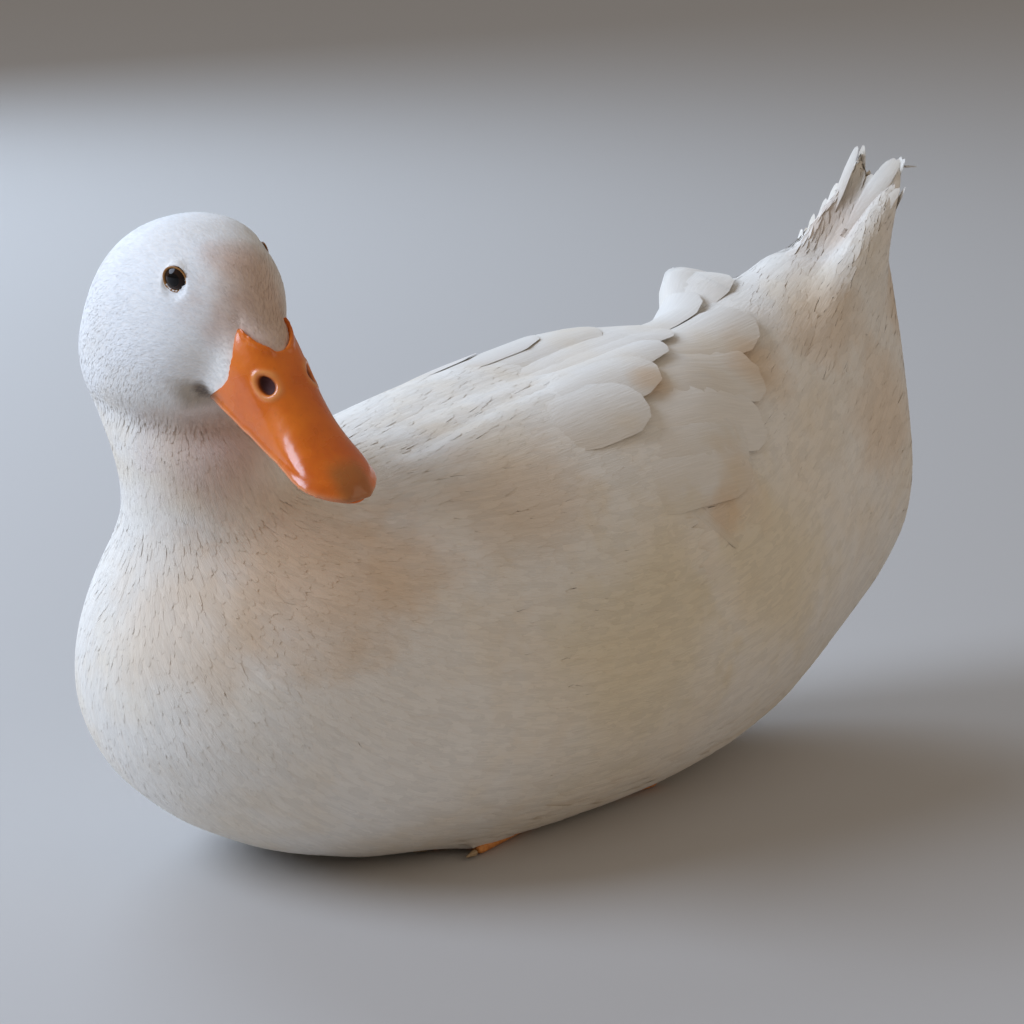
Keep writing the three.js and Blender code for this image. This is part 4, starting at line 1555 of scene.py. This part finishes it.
# Columns: the shape that is coloured, how much, and the colour.
TINTS = [
    # The rim is paler horn with a painted highlight along the lip.
    ("rim", 0.5, (0.85, 0.40, 0.20)),
    ("ridge", 0.6, (0.86, 0.38, 0.12)),
    ("nail", 0.75, (0.34, 0.12, 0.02)),
    # Painted shade in the corner of the mouth.
    ("gape_shade", 0.85, (0.06, 0.035, 0.02)),
    # Painted shade in the nostril's hollow.
    ("hollow", 1.0, (0.045, 0.004, 0.003)),
]
for label, amount, tint in TINTS:
    mask = add(tree, "Attribute", attribute_name=label).outputs["Fac"]
    colour = blend_colour(tree, math_node(tree, "MULTIPLY", mask, amount), colour, tint)
tree.links.new(colour, shader.inputs["Base Color"])
hole = add(tree, "Attribute", attribute_name="hollow").outputs["Fac"]
dull_hole = math_node(tree, "MULTIPLY", hole, 0.5)
gloss = math_node(tree, "ADD", ramp(tree, broad, 0.3, 0.7, 0.22, 0.34), dull_hole)
tree.links.new(gloss, shader.inputs["Roughness"])
tree.links.new(ramp(tree, hole, 0.0, 0.6, 0.5, 0.0), shader.inputs["Coat Weight"])
low_pits = math_node(tree, "MULTIPLY", pits, 0.4)
grain = math_node(tree, "ADD", math_node(tree, "MULTIPLY", pores, 0.5), low_pits)
bump = add(tree, "Bump", {"Height": grain, "Strength": 0.25, "Distance": 0.0004}).outputs[0]
tree.links.new(bump, shader.inputs["Normal"])
for name, node_name in (("bill_upper", "upper_bill"), ("bill_lower", "lower_bill")):
    pieces[name] = sculpted(name, node_name)
    pieces[name].data.materials.append(bill_finish)


# %% [markdown]
# ## Feet
#
# The feet are tucked flat under the belly, where few will look, but they are finished: rounded
# shanks and toes with webs, under a skin of small scales, and separate horn claws. Modelled scales
# would be lost at this size, so cells in the relief stand for them on a melt of each packed foot.

# %% Finishes of feet and claws
foot_finish, tree, shader = blank_material("foot_skin", Roughness=0.5)
place = add(tree, "TexCoord").outputs["Object"]
scales = add(tree, "TexVoronoi", {"Vector": place, "Scale": 520.0}, feature="F1").outputs[0]
colour = blend_colour(tree, scales, (0.80, 0.33, 0.08), (0.55, 0.19, 0.04))
tree.links.new(colour, shader.inputs["Base Color"])
bump = add(tree, "Bump", {"Height": scales, "Strength": 0.6, "Distance": 0.0006}).outputs[0]
tree.links.new(bump, shader.inputs["Normal"])

claw_finish, tree, shader = blank_material("claw_horn", Roughness=0.4)
place = add(tree, "TexCoord").outputs["Object"]
lines = add(tree, "TexNoise", {"Vector": place, "Scale": 500.0}).outputs[0]
colour = blend_colour(tree, lines, (0.50, 0.36, 0.20), (0.30, 0.20, 0.11))
tree.links.new(colour, shader.inputs["Base Color"])
print("finishes:", foot_finish.name, claw_finish.name)

# %% Feet and claws
for side in ("left", "right"):
    foot = melted(f"foot_{side}", [f"leg_{side}"], 1.0 * MM)
    spots = relaxed(foot.data, points_of(foot.data), 4)
    spots[:, 2] = np.maximum(spots[:, 2], 0)
    set_points(foot.data, spots)
    foot.data.shade_smooth()
    foot.data.materials.append(foot_finish)
    pieces[foot.name] = foot
    for toe in (1, 2, 3):
        claw = melted(f"claw_{side}_{toe}_horn", [f"claw_{side}_{toe}"], 0.4 * MM)
        set_points(claw.data, relaxed(claw.data, points_of(claw.data), 3))
        claw.data.shade_smooth()
        claw.data.materials.append(claw_finish)
        pieces[claw.name] = claw
    print(f"{side} foot:", len(foot.data.polygons), "faces and 3 claws")

# %% [markdown]
# ## Pieces on one body
#
# Every piece rides on the one body, and the imported nodes that it stands for are hidden.

# %% Tie the pieces to the imported duck
pieces["skin"] = skin
STANDS_FOR = {
    "skin": FLESH,
    "wing_feathers_left": ["wing_left"], "wing_feathers_right": ["wing_right"],
    "bill_upper": ["upper_bill"], "bill_lower": ["lower_bill"],
    "eyeball_left": ["eye_left"], "eyeball_right": ["eye_right"],
    "foot_left": ["leg_left"], "foot_right": ["leg_right"],
}
skin.data.shade_smooth()
for name, piece in pieces.items():
    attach(piece, "root")
    nodes = STANDS_FOR.get(name, [name.removesuffix("_horn")] if name.startswith("claw") else [])
    if nodes:
        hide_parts(*nodes)
triangles = {n: sum(len(p.vertices) - 2 for p in o.data.polygons) for n, o in pieces.items()}
print("pieces:", len(pieces), "triangles:", sum(triangles.values()), "at most", max(triangles.values()))
